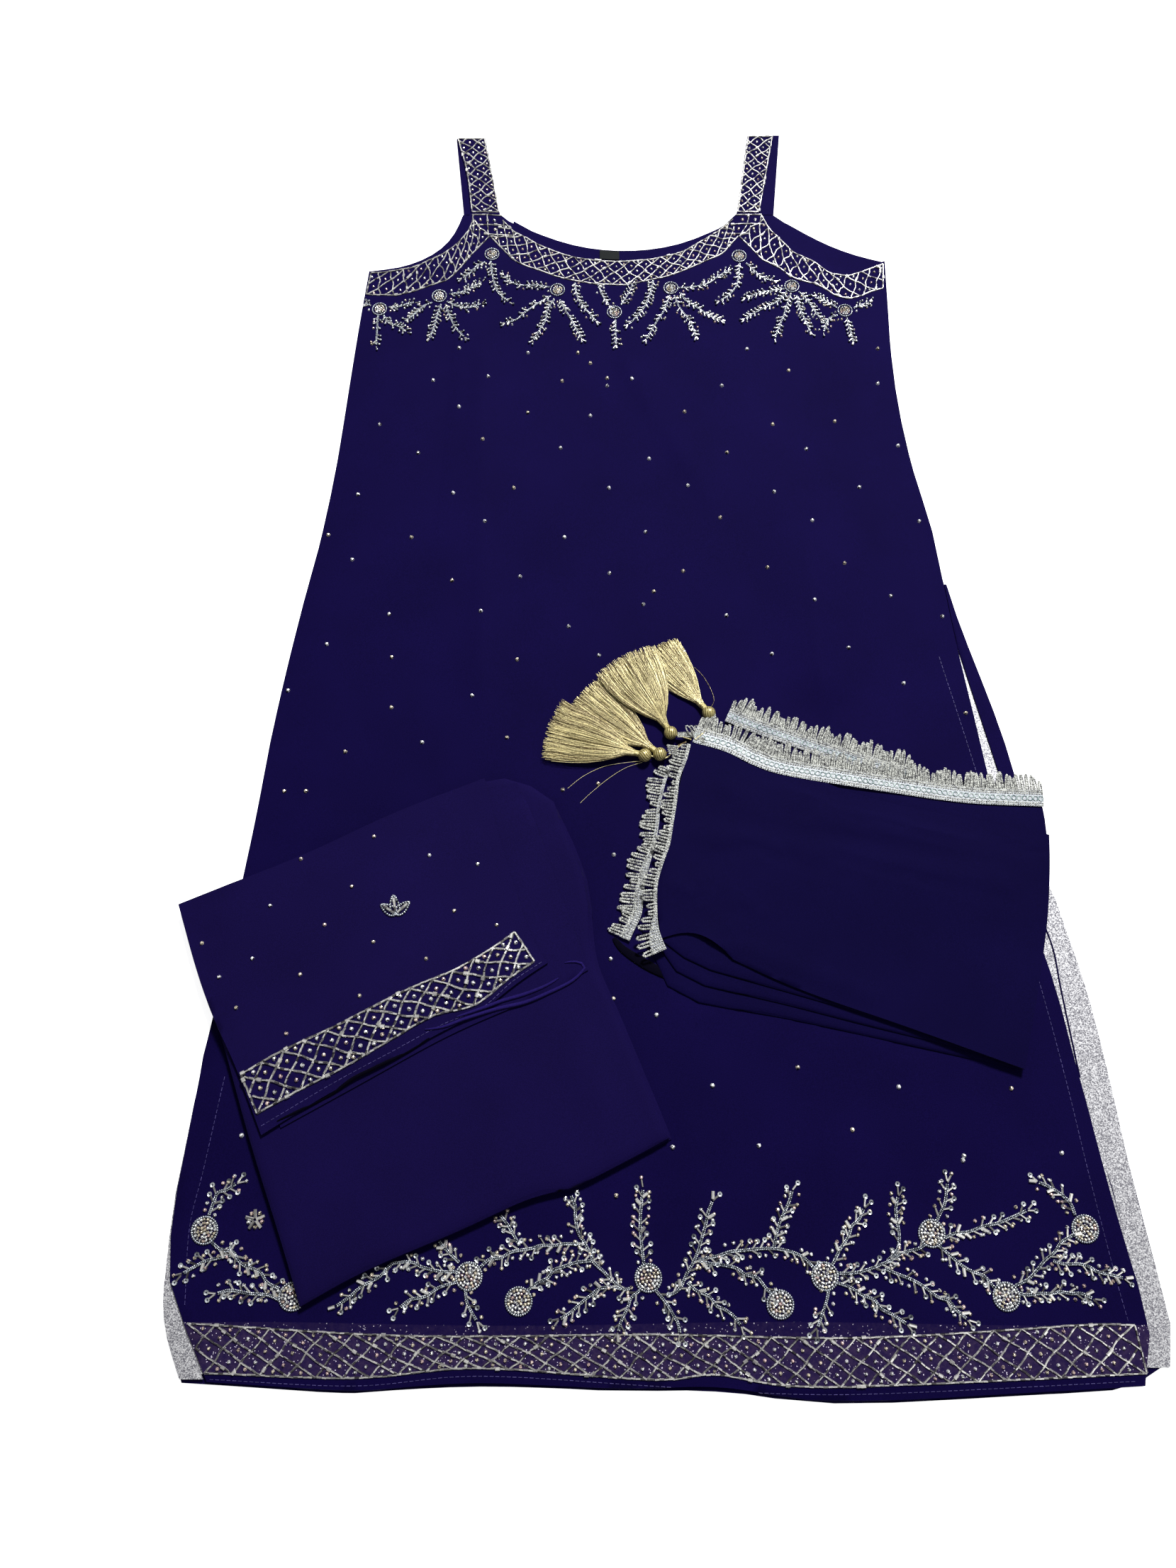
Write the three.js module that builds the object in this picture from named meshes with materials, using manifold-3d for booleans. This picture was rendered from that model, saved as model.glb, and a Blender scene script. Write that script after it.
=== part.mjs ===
// Kurta palazzo set laid flat: a sleeveless kurta, folded palazzo trousers and a folded dupatta.
// Millimetres, +Z up. The kurta's straps point to +Y and its back panel rests on the floor, z = 0.
import * as THREE from "three";
import { mergeVertices } from "three/addons/utils/BufferGeometryUtils.js";
import Module from "manifold-3d";

const wasm = await Module();
wasm.setup();

// Driving dimensions
const clothThickness = 1.2;
const facingThickness = 1.0;
const seamGap = 0.3;

// Heights of the lying layers, worked out from the cloth
const backTop = clothThickness;
const facingBottom = backTop + seamGap;
const facingTop = facingBottom + facingThickness;
const frontLift = facingThickness + seamGap;
const frontBottom = facingTop + seamGap;
const frontTop = frontBottom + clothThickness;
const stackBottom = frontTop + seamGap;

// Silhouette of the kurta: half-open A-line sides, widest at the hem
const kurtaSides = [
  { y: 400, left: -243, right: 233 },
  { y: 348, left: -248, right: 232 },
  { y: 257, left: -255, right: 230 },
  { y: 213, left: -258, right: 234 },
  { y: 128, left: -266, right: 250 },
  { y: 47, left: -280, right: 263 },
  { y: -66, left: -296, right: 291 },
  { y: -140, left: -303, right: 304 },
  { y: -206, left: -311, right: 318 },
  { y: -271, left: -318, right: 332 },
  { y: -333, left: -327, right: 340 },
  { y: -422, left: -337, right: 349 },
  { y: -477, left: -338, right: 357 },
  { y: -505, left: -334, right: 360 },
  { y: -545, left: -317, right: 352 },
];

// How far the front's slit edges stand inside the silhouette
const slitInset = [
  { y: 110, left: 0, right: 0 },
  { y: 47, left: 0, right: 5 },
  { y: 5, left: 0, right: 11 },
  { y: -98, left: 0, right: 22 },
  { y: -320, left: 0, right: 23 },
  { y: -350, left: 2, right: 22 },
  { y: -470, left: 3.5, right: 17 },
  { y: -508, left: 14, right: 16 },
  { y: -540, left: 18, right: 17 },
];

// Hem edges, slightly wavy
const hemEdge = [
  { x: -330, front: -536, back: -538 },
  { x: -275, front: -539, back: -541 },
  { x: -200, front: -543, back: -545 },
  { x: -126, front: -538, back: -540 },
  { x: -10, front: -542, back: -544 },
  { x: 50, front: -540, back: -542 },
  { x: 97, front: -548, back: -550 },
  { x: 160, front: -549, back: -551 },
  { x: 240, front: -545, back: -547 },
  { x: 335, front: -540, back: -541 },
  { x: 360, front: -538, back: -530 },
];

// Neck, armholes and strap bases of each panel
const strapBaseY = 455;
const frontCut = {
  armLeft: { x: -243, y: 388 },
  armRight: { x: 233, y: 400 },
  armDip: { x: 200, y: 385 },
  strapLeft: { outer: -152, inner: -125 },
  strapRight: { inner: 98, outer: 120 },
  neck: { x: -12, y: 400, halfWidth: 113, depth: 55 },
};
const backCut = {
  armLeft: { x: -243, y: 389 },
  armRight: { x: 233, y: 400 },
  armDip: { x: 233, y: 400 },
  strapLeft: { outer: -159, inner: -127 },
  strapRight: { inner: 100, outer: 133 },
  neck: { x: -8, y: 412, halfWidth: 114, depth: 43 },
};
const neckPower = 2.2;
const armholePower = 1.6;

// Straps, from their base on the yoke to the shoulder
const straps = [
  { name: "strap_back_left", top: 547, outer: -169, inner: -144, cut: backCut.strapLeft, layer: "back" },
  { name: "strap_back_right", top: 551, outer: 143, inner: 116, cut: backCut.strapRight, layer: "back" },
  { name: "strap_front_left", top: 546, outer: -163, inner: -141, cut: frontCut.strapLeft, layer: "front" },
  { name: "strap_front_right", top: 549, outer: 137, inner: 112, cut: frontCut.strapRight, layer: "front" },
];

// Soft creases of the front: ridges from one point to another, with heights and half widths at both ends
const frontCreases = [
  { from: [-139, 340], to: [-124, -60], height: [1.6, 2.2], right: [34, 34], left: [16, 16] },
  { from: [-16, 305], to: [72, 130], height: [2.5, 3], right: [18, 18], left: [40, 40] },
  { from: [136, 240], to: [148, -48], height: [2, 6], right: [75, 16], left: [22, 34] },
  { from: [139, 350], to: [134, 190], height: [1.5, 2], right: [18, 18], left: [26, 26] },
  { from: [166, 330], to: [190, 250], height: [2, 1], right: [18, 18], left: [24, 24] },
  { from: [50, -352], to: [56, -440], height: [2.4, 1.5], right: [22, 22], left: [26, 26] },
  { from: [131, -346], to: [139, -436], height: [2, 1.4], right: [24, 24], left: [24, 24] },
  { from: [186, -360], to: [196, -430], height: [1.6, 1.2], right: [24, 24], left: [24, 24] },
  { from: [128, -556], to: [126, -478], height: [3, 1], right: [34, 34], left: [40, 40] },
  { from: [-196, -550], to: [-190, -505], height: [2, 1], right: [34, 34], left: [34, 34] },
  { from: [262, -552], to: [256, -490], height: [2.4, 1], right: [34, 34], left: [34, 34] },
];
const creaseFade = 30;

// Folded palazzo: the edges of the whole packet and of its two hem layers, corner by corner
const packetEdges = {
  top: [[-353, -209], [-325, -198], [-264, -173], [-191, -137], [-123, -109], [-98, -108], [-69, -126]],
  bottom: [[-240, -490], [-201, -469], [-127, -439], [-77, -417], [-58, -415], [-24, -399], [17, -379]],
  left: [[-240, -490], [-257, -447], [-284, -382], [-316, -297], [-334, -258], [-353, -209]],
  right: [[17, -379], [-4, -329], [-28, -272], [-38, -252], [-42, -195], [-69, -126]],
};
const legUnderEdges = {
  top: [[-300, -192], [-230, -160], [-160, -127], [-98, -112]],
  bottom: [[-262, -372], [-186, -330], [-149, -309], [-111, -292], [-67, -274], [-42, -259]],
  left: [[-262, -372], [-276, -330], [-290, -260], [-300, -192]],
  right: [[-42, -259], [-49, -238], [-68, -186], [-86, -136], [-98, -112]],
};
const legTopEdges = {
  top: [[-353, -209], [-325, -198], [-264, -173], [-191, -137], [-123, -109]],
  bottom: [[-275, -377], [-223, -345], [-186, -326], [-149, -304], [-119, -290], [-98, -271], [-72, -254]],
  left: [[-275, -377], [-299, -326], [-316, -297], [-334, -258], [-353, -209]],
  right: [[-72, -254], [-87, -231], [-92, -214], [-109, -161], [-123, -109]],
};
const packetHeight = 8;
const packetLayers = 3;
const packetRelief = [
  { from: [-50, -300], to: [-26, -380], height: [1.5, 2.5], right: [22, 18], left: [14, 14] },
  { from: [-112, -395], to: [-92, -430], height: [1.5, 3], right: [26, 26], left: [26, 26] },
];
const legRelief = [
  { from: [-282, -352], to: [-84, -240], height: [2, 2], right: [34, 34], left: [26, 26] },
  { from: [-330, -215], to: [-135, -125], height: [1, 1], right: [16, 16], left: [40, 40] },
];

// Folded dupatta: the packet, its top layer and the layers that fan out below
const dupattaEdges = {
  top: [[42, -66], [72, -75], [93, -86], [114, -93], [134, -98], [200, -108], [256, -116], [313, -119]],
  bottom: [[13, -236], [38, -254], [98, -272], [169, -293], [223, -311], [276, -330]],
  left: [[13, -236], [11, -218], [11, -190], [20, -166], [25, -137], [35, -93], [42, -66]],
  right: [[276, -330], [291, -278], [305, -224], [312, -184], [315, -153], [313, -119]],
};
const dupattaTopEdges = {
  top: [[41, -74], [72, -82], [93, -93], [114, -100], [134, -106], [157, -118], [197, -129], [315, -154]],
  bottom: [[13, -235], [31, -227], [46, -227], [57, -244], [98, -266], [136, -281], [183, -297], [276, -331]],
  left: [[13, -235], [11, -218], [11, -190], [20, -166], [25, -137], [35, -93], [41, -74]],
  right: [[276, -331], [291, -278], [305, -224], [312, -184], [315, -154]],
};
const dupattaFoldHeight = 2;
const dupattaFolds = 3;
// How far the lowest and the middle fold stand out, along each side from its start to its end
const dupattaLedges = {
  bottom: [
    { at: 0, low: 10, middle: 4 },
    { at: 0.09, low: 25, middle: 12 },
    { at: 0.35, low: 19, middle: 9 },
    { at: 0.6, low: 14, middle: 7 },
    { at: 0.8, low: 8, middle: 2 },
    { at: 1, low: 1, middle: 0 },
  ],
  right: [
    { at: 0, low: 1, middle: 0 },
    { at: 1, low: 0, middle: 0 },
  ],
  top: [
    { at: 0, low: 0, middle: 0 },
    { at: 0.3, low: 0, middle: 0 },
    { at: 0.42, low: 12, middle: 0 },
    { at: 0.6, low: 24, middle: 0 },
    { at: 0.85, low: 27, middle: 0 },
    { at: 0.93, low: 8, middle: 0 },
    { at: 1, low: 3, middle: 0 },
  ],
  left: [
    { at: 0, low: 3, middle: 0 },
    { at: 0.2, low: 12, middle: 0 },
    { at: 0.7, low: 15, middle: 0 },
    { at: 1, low: 16, middle: 2 },
  ],
};
const dupattaRelief = [
  { from: [46, -106], to: [304, -172], height: [3.5, 2], right: [40, 26], left: [9, 9] },
  { from: [40, -160], to: [300, -196], height: [1.5, 2.5], right: [60, 60], left: [30, 20] },
  { from: [20, -192], to: [100, -216], height: [2.5, 1.5], right: [24, 20], left: [12, 12] },
  { from: [42, -215], to: [50, -262], height: [2, 8], right: [24, 24], left: [30, 30] },
];

// Lace: a tape along a path with finger loops beyond it, in waves of longer and shorter fingers
const laceThickness = 1.0;
const lacePitch = 9;
const laceStrips = [
  {
    name: "lace_top_inner", tape: 13, droop: 1.5, start: 12.1, end: 10.7, side: 1, shortest: 5, longest: 11,
    path: [[41, -78], [67, -86], [88, -97], [110, -105], [153, -113], [198, -120], [254, -128], [314, -131]],
  },
  {
    name: "lace_top_outer", tape: 12, droop: 1.5, start: 6.6, end: 6.6, side: 1, shortest: 5, longest: 12,
    path: [[68, -58], [93, -67], [120, -75], [150, -84]],
  },
  {
    name: "lace_side_outer", tape: 6, droop: 2, start: 6.6, end: 6.6, side: -1, shortest: 5, longest: 12,
    path: [[20.5, -97], [15, -124], [11, -148], [6, -170], [2, -190], [-2, -212], [-9, -232]],
  },
  {
    name: "lace_side_inner", tape: 4, droop: 2.5, start: 12.2, end: 12.2, side: -1, shortest: 4, longest: 11,
    path: [[40, -84], [35, -106], [30, -137], [25, -166], [17, -186], [16, -208], [18, -232]],
  },
];

// Tassels: where each ball head lies, which way its skirt points and how wide it fans
const headRadius = 5.4;
const tassels = [
  { name: "tassel_1", x: 3, y: -88, aim: 163, fan: 38, length: 80, over: true },
  { name: "tassel_2", x: 15, y: -87, aim: 139, fan: 34, length: 82, over: false },
  { name: "tassel_3", x: 24, y: -69, aim: 119, fan: 42, length: 76, over: true },
  { name: "tassel_4", x: 55, y: -52, aim: 125, fan: 30, length: 72, over: false },
];
const locksPerLayer = 15;
const skirtLength = 26;

// Colours of the cloths, the silver parts and the thread
const colours = {
  kurta: 0x1b1450,
  palazzo: 0x1e164b,
  dupatta: 0x150d3f,
  silver: 0xb4b4bc,
  lace: 0xb6baac,
  thread: 0xa8986a,
  label: 0x101018,
};
const metallicCloths = ["silver", "lace", "thread"];

// Small helpers for numbers and tables

function mix(a, b, t) {
  return a + (b - a) * t;
}

// Eases from 0 at from to 1 at to, whichever of them is the larger
function smooth(from, to, value) {
  const t = THREE.MathUtils.clamp((value - from) / (to - from), 0, 1);
  return t * t * (3 - 2 * t);
}

// A smooth function through one column of a table, over another column
function tableCurve(rows, key, column) {
  const sorted = [...rows].sort((a, b) => a[key] - b[key]);
  const slopes = sorted.map((row, i) => {
    const before = sorted[Math.max(0, i - 1)];
    const after = sorted[Math.min(sorted.length - 1, i + 1)];
    return (after[column] - before[column]) / (after[key] - before[key]);
  });
  return (at) => {
    const i = sorted.findIndex((row) => row[key] > at);
    if (i < 0) return sorted[sorted.length - 1][column];
    if (i === 0) return sorted[0][column];
    const span = sorted[i][key] - sorted[i - 1][key];
    const t = (at - sorted[i - 1][key]) / span;
    const ease = t * t * (3 - 2 * t);
    const leave = t * (1 - t) * (1 - t) * span * slopes[i - 1];
    const arrive = t * t * (1 - t) * span * slopes[i];
    return mix(sorted[i - 1][column], sorted[i][column], ease) + leave - arrive;
  };
}

// A plan curve through listed points, asked for by its share of the length
function planCurve(points) {
  const curve = new THREE.CatmullRomCurve3(
    points.map(([x, y]) => new THREE.Vector3(x, y, 0)),
    false,
    "centripetal",
  );
  curve.arcLengthDivisions = 400;
  return curve;
}

// The height of soft ridges at a plan point; each pair holds the values at its two ends, and the half
// widths to the right and to the left are as someone walking along the ridge sees them
function creaseHeight(creases, x, y) {
  let height = 0;
  for (const crease of creases) {
    const dx = crease.to[0] - crease.from[0];
    const dy = crease.to[1] - crease.from[1];
    const length = Math.hypot(dx, dy);
    const along = ((x - crease.from[0]) * dx + (y - crease.from[1]) * dy) / length;
    if (along <= 0 || along >= length) continue;
    const t = along / length;
    const across = ((x - crease.from[0]) * dy - (y - crease.from[1]) * dx) / length;
    const half = mix(...(across > 0 ? crease.right : crease.left), t);
    const profile = 1 - smooth(0, half, Math.abs(across));
    const ends = smooth(0, creaseFade, along) * smooth(0, creaseFade, length - along);
    height = Math.max(height, mix(...crease.height, t) * profile * ends);
  }
  return height;
}

// Closed bodies

// The four sides of a grid of points as one anticlockwise loop of grid places
function gridLoop(columns, rows) {
  const loop = [];
  for (let i = 0; i < columns; i++) loop.push({ i, j: 0, side: "bottom", at: i / columns });
  for (let j = 0; j < rows; j++) loop.push({ i: columns, j, side: "right", at: j / rows });
  for (let i = columns; i > 0; i--) loop.push({ i, j: rows, side: "top", at: 1 - i / columns });
  for (let j = rows; j > 0; j--) loop.push({ i: 0, j, side: "left", at: 1 - j / rows });
  return loop;
}

// Two grids of points, grid[i][j], joined by their rims and by any rings between them
function closedBody(lower, upper, rings = []) {
  const columns = lower.length - 1;
  const rows = lower[0].length - 1;
  const points = [];
  const faces = [];
  const place = (point) => points.push(point.x, point.y, point.z) / 3 - 1;
  const low = lower.map((line) => line.map(place));
  const high = upper.map((line) => line.map(place));
  const quad = (a, b, c, d) => faces.push(a, b, c, a, c, d);
  for (let i = 0; i < columns; i++) {
    for (let j = 0; j < rows; j++) {
      quad(high[i][j], high[i + 1][j], high[i + 1][j + 1], high[i][j + 1]);
      quad(low[i][j], low[i][j + 1], low[i + 1][j + 1], low[i + 1][j]);
    }
  }
  const loop = gridLoop(columns, rows);
  const levels = [
    loop.map(({ i, j }) => low[i][j]),
    ...rings.map((ring) => ring.map(place)),
    loop.map(({ i, j }) => high[i][j]),
  ];
  for (let r = 1; r < levels.length; r++) {
    for (let k = 0; k < loop.length; k++) {
      const next = (k + 1) % loop.length;
      quad(levels[r - 1][k], levels[r - 1][next], levels[r][next], levels[r][k]);
    }
  }
  const geometry = new THREE.BufferGeometry();
  geometry.setAttribute("position", new THREE.Float32BufferAttribute(points, 3));
  geometry.setIndex(faces);
  return geometry;
}

// A grid of points from a function of the shares across and along
function pointGrid(across, along, at) {
  return across.map((u) => along.map((v) => at(u, v)));
}

// A cloth wall over a plan: plan(u, v) gives x and y, bottom(x, y) the height of its underside
function clothWall({ across, along, plan, bottom, thickness = clothThickness }) {
  const raise = (extra) => (u, v) => {
    const { x, y } = plan(u, v);
    return new THREE.Vector3(x, y, bottom(x, y) + extra);
  };
  return closedBody(pointGrid(across, along, raise(0)), pointGrid(across, along, raise(thickness)));
}

function evenShares(count) {
  return Array.from({ length: count + 1 }, (_, k) => k / count);
}

// A plan patch between four edge curves that share their corners
function patchPlan(edges) {
  const side = Object.fromEntries(Object.entries(edges).map(([name, points]) => [name, planCurve(points)]));
  const corner = (name, at) => side[name].getPointAt(at);
  const corners = {
    bottomLeft: corner("bottom", 0),
    bottomRight: corner("bottom", 1),
    topLeft: corner("top", 0),
    topRight: corner("top", 1),
  };
  return (u, v) => {
    const bottom = side.bottom.getPointAt(u);
    const top = side.top.getPointAt(u);
    const left = side.left.getPointAt(v);
    const right = side.right.getPointAt(v);
    const blend = (axis) =>
      mix(bottom[axis], top[axis], v) +
      mix(left[axis], right[axis], u) -
      mix(
        mix(corners.bottomLeft[axis], corners.bottomRight[axis], u),
        mix(corners.topLeft[axis], corners.topRight[axis], u),
        v,
      );
    return { x: blend("x"), y: blend("y") };
  };
}

// A packet of folded cloth: rings gives, from the floor up, a height and how far each side stands out
function foldedPacket({ edges, columns, rows, rings, lid, droop = () => 0 }) {
  const plan = patchPlan(edges);
  const across = evenShares(columns);
  const along = evenShares(rows);
  const loop = gridLoop(columns, rows).map((spot) => ({ ...spot, ...plan(across[spot.i], along[spot.j]) }));
  const outward = loop.map((spot, k) => {
    const before = loop[(k + loop.length - 1) % loop.length];
    const after = loop[(k + 1) % loop.length];
    return new THREE.Vector2(after.y - before.y, before.x - after.x).normalize();
  });
  const ringPoint = (ring, k) => {
    const out = ring.out(loop[k].side, loop[k].at);
    const x = loop[k].x + outward[k].x * out;
    const y = loop[k].y + outward[k].y * out;
    return new THREE.Vector3(x, y, ring.z - droop(x, y));
  };
  const ringPoints = rings.map((ring) => loop.map((_, k) => ringPoint(ring, k)));
  const surface = (height) =>
    pointGrid(across, along, (u, v) => {
      const { x, y } = plan(u, v);
      return new THREE.Vector3(x, y, height(x, y) - droop(x, y));
    });
  const lower = surface(() => rings[0].z);
  const upper = surface(lid);
  loop.forEach(({ i, j }, k) => {
    lower[i][j] = ringPoints[0][k];
    upper[i][j] = ringPoints[ringPoints.length - 1][k];
  });
  return closedBody(lower, upper, ringPoints.slice(1, -1));
}

// Bodies joined or taken back as one geometry

function solidOf(geometry) {
  const bare = new THREE.BufferGeometry();
  bare.setAttribute("position", geometry.getAttribute("position"));
  bare.setIndex(geometry.getIndex());
  const merged = mergeVertices(bare, 1e-4);
  return new wasm.Manifold(
    new wasm.Mesh({
      numProp: 3,
      vertProperties: new Float32Array(merged.getAttribute("position").array),
      triVerts: new Uint32Array(merged.getIndex().array),
    }),
  );
}

function geometryOf(solid) {
  const mesh = solid.getMesh();
  const geometry = new THREE.BufferGeometry();
  geometry.setAttribute("position", new THREE.BufferAttribute(mesh.vertProperties, 3));
  geometry.setIndex(new THREE.BufferAttribute(mesh.triVerts, 1));
  return geometry;
}

function joined(geometries) {
  return geometryOf(geometries.map(solidOf).reduce((whole, piece) => whole.add(piece)));
}

// Kurta

const sideLeft = tableCurve(kurtaSides, "y", "left");
const sideRight = tableCurve(kurtaSides, "y", "right");
const insetLeft = tableCurve(slitInset, "y", "left");
const insetRight = tableCurve(slitInset, "y", "right");
const hemFront = tableCurve(hemEdge, "x", "front");
const hemBack = tableCurve(hemEdge, "x", "back");
const frontLeft = (y) => sideLeft(y) + Math.max(0, insetLeft(y));
const frontRight = (y) => sideRight(y) - Math.max(0, insetRight(y));

function neckY(neck, x) {
  return neck.y + neck.depth * Math.min(1, Math.abs(x - neck.x) / neck.halfWidth) ** neckPower;
}

// The top edge of a panel over x: armhole, strap base, neck, strap base, armhole
function topEdge(cut) {
  return (x) => {
    if (x <= cut.strapLeft.outer) {
      const t = THREE.MathUtils.clamp((x - cut.armLeft.x) / (cut.strapLeft.outer - cut.armLeft.x), 0, 1);
      return cut.armLeft.y + (strapBaseY - cut.armLeft.y) * (1 - Math.sqrt(1 - t * t));
    }
    if (x <= cut.strapLeft.inner) return strapBaseY;
    if (x < cut.strapRight.inner) return neckY(cut.neck, x);
    if (x <= cut.strapRight.outer) return strapBaseY;
    if (x >= cut.armDip.x) {
      const past = (x - cut.armDip.x) / Math.max(1, cut.armRight.x - cut.armDip.x);
      return mix(cut.armDip.y, cut.armRight.y, past);
    }
    const rise = (cut.armDip.x - x) / (cut.armDip.x - cut.strapRight.outer);
    return mix(cut.armDip.y, strapBaseY, rise ** armholePower);
  };
}

// Shares across a panel: close together at the armholes, one step across each strap
function panelShares(cut, neckSteps) {
  const width = cut.armRight.x - cut.armLeft.x;
  const stretch = (from, to, steps, power) =>
    Array.from({ length: steps }, (_, k) => mix(from, to, 1 - (1 - (k + 1) / steps) ** power));
  const xs = [
    cut.armLeft.x,
    ...stretch(cut.armLeft.x, cut.strapLeft.outer, 5, 1.7),
    cut.strapLeft.inner,
    ...stretch(cut.strapLeft.inner, cut.strapRight.inner, neckSteps, 1),
    cut.strapRight.outer,
    ...stretch(cut.armRight.x, cut.strapRight.outer, 5, 1.4).reverse().slice(1),
    cut.armRight.x,
  ];
  return xs.map((x) => (x - cut.armLeft.x) / width);
}

function panelPlan(cut, left, right, hem) {
  const top = topEdge(cut);
  const hemEnd = -540;
  return (u, v) => {
    const level = mix(hemEnd, mix(cut.armLeft.y, cut.armRight.y, u), v);
    const x = mix(left(level), right(level), u);
    const topX = mix(cut.armLeft.x, cut.armRight.x, u);
    return { x, y: mix(hem(x), top(topX), v) };
  };
}

// The front stands a facing's thickness off the back, and closes on it at the seams, neck and armholes.
// Over its own right facing, below the first thread of it that shows, it stands one facing higher.
const closingWidth = 40;
const leftSlitTop = -300;
const rightSlitTop = 60;

function frontHeight(x, y) {
  const seamLeft = smooth(leftSlitTop - 30, leftSlitTop, y);
  const seamRight = smooth(rightSlitTop, rightSlitTop + 50, y);
  const fromLeft = mix(1, smooth(0, closingWidth, x - frontLeft(y)), seamLeft);
  const fromRight = mix(1, smooth(0, closingWidth, frontRight(y) - x), seamRight);
  const fromTop = smooth(0, closingWidth, topEdge(frontCut)(x) - y);
  const open = fromLeft * fromRight * fromTop;
  const overFacing = smooth(-315, -345, y) * smooth(-60, -28, x - frontRight(y));
  const raised = (frontLift + creaseHeight(frontCreases, x, y)) * open;
  return facingBottom + raised + (facingThickness + seamGap) * overFacing;
}

const foldStart = 66;
const foldEnd = -190;
const foldRadius = frontTop / 2;
const wedgeWidth = tableCurve(
  [
    { y: foldStart, width: 0.6 },
    { y: 5, width: 0.8 },
    { y: -98, width: 9 },
    { y: foldEnd, width: 16 },
  ],
  "y",
  "width",
);

function kurtaBack() {
  const foldHere = (y) => smooth(foldStart + 24, foldStart, y) * smooth(foldEnd - 24, foldEnd, y);
  const right = (y) => sideRight(y) - foldRadius * foldHere(y);
  const panel = clothWall({
    across: panelShares(backCut, 8),
    along: [0, 0.037, 0.07, 0.13, ...evenShares(11).map((t) => mix(0.2, 1, t))],
    plan: panelPlan(backCut, sideLeft, right, hemBack),
    bottom: () => 0,
  });
  // The right side turned over to the front: an arc round the edge, then a flat strip
  const arc = evenShares(4);
  const section = (y, radius, inward) => {
    const edge = sideRight(y) - foldRadius;
    const round = arc.map((t) => {
      const angle = mix(-Math.PI / 2, Math.PI / 2, t);
      return { x: edge + Math.cos(angle) * radius, z: foldRadius + Math.sin(angle) * radius };
    });
    const reach = frontRight(y) + wedgeWidth(y);
    const root = { x: edge - inward, z: foldRadius - radius };
    return [root, ...round, { x: reach, z: foldRadius + radius }];
  };
  const levels = evenShares(9).map((t) => mix(foldEnd, foldStart, t));
  const skin = (radius) =>
    levels.map((y) => section(y, radius, 4).map(({ x, z }) => new THREE.Vector3(x, y, z)));
  const fold = closedBody(skin(foldRadius - clothThickness), skin(foldRadius));
  return joined([panel, fold]);
}

function kurtaFront() {
  return clothWall({
    across: panelShares(frontCut, 12),
    along: evenShares(30),
    plan: panelPlan(frontCut, frontLeft, frontRight, hemFront),
    bottom: frontHeight,
  });
}

function strap({ top, outer, inner, cut, layer }) {
  const bottomZ = layer === "back" ? 0 : facingBottom;
  const base = strapBaseY + seamGap;
  return clothWall({
    across: outer < inner ? [0, 0.5, 1] : [1, 0.5, 0],
    along: evenShares(4),
    plan: (u, v) => ({
      x: mix(mix(cut.outer, cut.inner, u), mix(outer, inner, u), v),
      y: mix(base, top, v),
    }),
    bottom: () => bottomZ,
  });
}

// A narrow strip of facing between two x edges over a range of y
function sideFacing({ from, to, inner, outer, bottomZ, steps }) {
  return clothWall({
    across: evenShares(1),
    along: evenShares(steps),
    plan: (u, v) => {
      const y = mix(from, to, v);
      return { x: mix(inner(y), outer(y), u), y };
    },
    bottom: () => bottomZ,
    thickness: facingThickness,
  });
}

function backNeckFacing() {
  const from = -112;
  const to = 90;
  const clear = 0.5;
  return clothWall({
    across: evenShares(12),
    along: evenShares(1),
    plan: (u, v) => {
      const x = mix(from, to, u);
      return { x, y: mix(neckY(frontCut.neck, x) + clear, neckY(backCut.neck, x) - clear, v) };
    },
    bottom: () => facingBottom,
    thickness: facingThickness,
  });
}

function neckLabel() {
  const width = 18;
  return clothWall({
    across: evenShares(2),
    along: evenShares(1),
    plan: (u, v) => {
      const x = frontCut.neck.x - 10 + mix(-width / 2, width / 2, u);
      return { x, y: mix(neckY(frontCut.neck, x) + 1, neckY(backCut.neck, x) - 1.5, v) };
    },
    bottom: () => facingTop + seamGap,
    thickness: facingThickness,
  });
}

const backFacingInset = 0.8;
const facingOverlap = 12;
const backFacingRightTop = 14;

function backFacingRight() {
  const inFold = (y) => smooth(foldEnd - 12, foldEnd - 2, y);
  return sideFacing({
    from: -529,
    to: backFacingRightTop,
    inner: (y) => frontRight(y) - facingOverlap,
    outer: (y) => sideRight(y) - mix(backFacingInset, foldRadius + 1.6, inFold(y)),
    bottomZ: facingBottom,
    steps: 20,
  });
}

function backFacingLeft() {
  return sideFacing({
    from: -533,
    to: -335,
    inner: (y) => sideLeft(y) + backFacingInset,
    outer: (y) => frontLeft(y) + facingOverlap,
    bottomZ: facingBottom,
    steps: 9,
  });
}

function frontFacingRight() {
  const peep = 2.4;
  return sideFacing({
    from: -520,
    to: -352,
    inner: (y) => frontRight(y) - facingOverlap,
    outer: (y) => frontRight(y) + peep,
    bottomZ: facingTop + seamGap,
    steps: 6,
  });
}

// The front's facing turned up over the lower left corner
function frontFacingLeft() {
  const gap = 0.6;
  return sideFacing({
    from: -536,
    to: -474,
    inner: (y) => sideLeft(y) + backFacingInset,
    outer: (y) => frontLeft(y) - gap,
    bottomZ: facingTop + seamGap,
    steps: 5,
  });
}

function frontHemFacing() {
  const topY = -503;
  return clothWall({
    across: evenShares(14),
    along: evenShares(1),
    plan: (u, v) => {
      const x = mix(-283, 318, u);
      return { x, y: mix(hemFront(x) + 5, topY, v) };
    },
    bottom: () => facingBottom,
    thickness: facingThickness,
  });
}

// Palazzo

// The packet hangs past the kurta's left side and sinks a little towards the floor there
function overhangDroop(x, y) {
  const past = sideLeft(y) - x;
  return 2.6 * smooth(12, 40, past);
}

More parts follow.
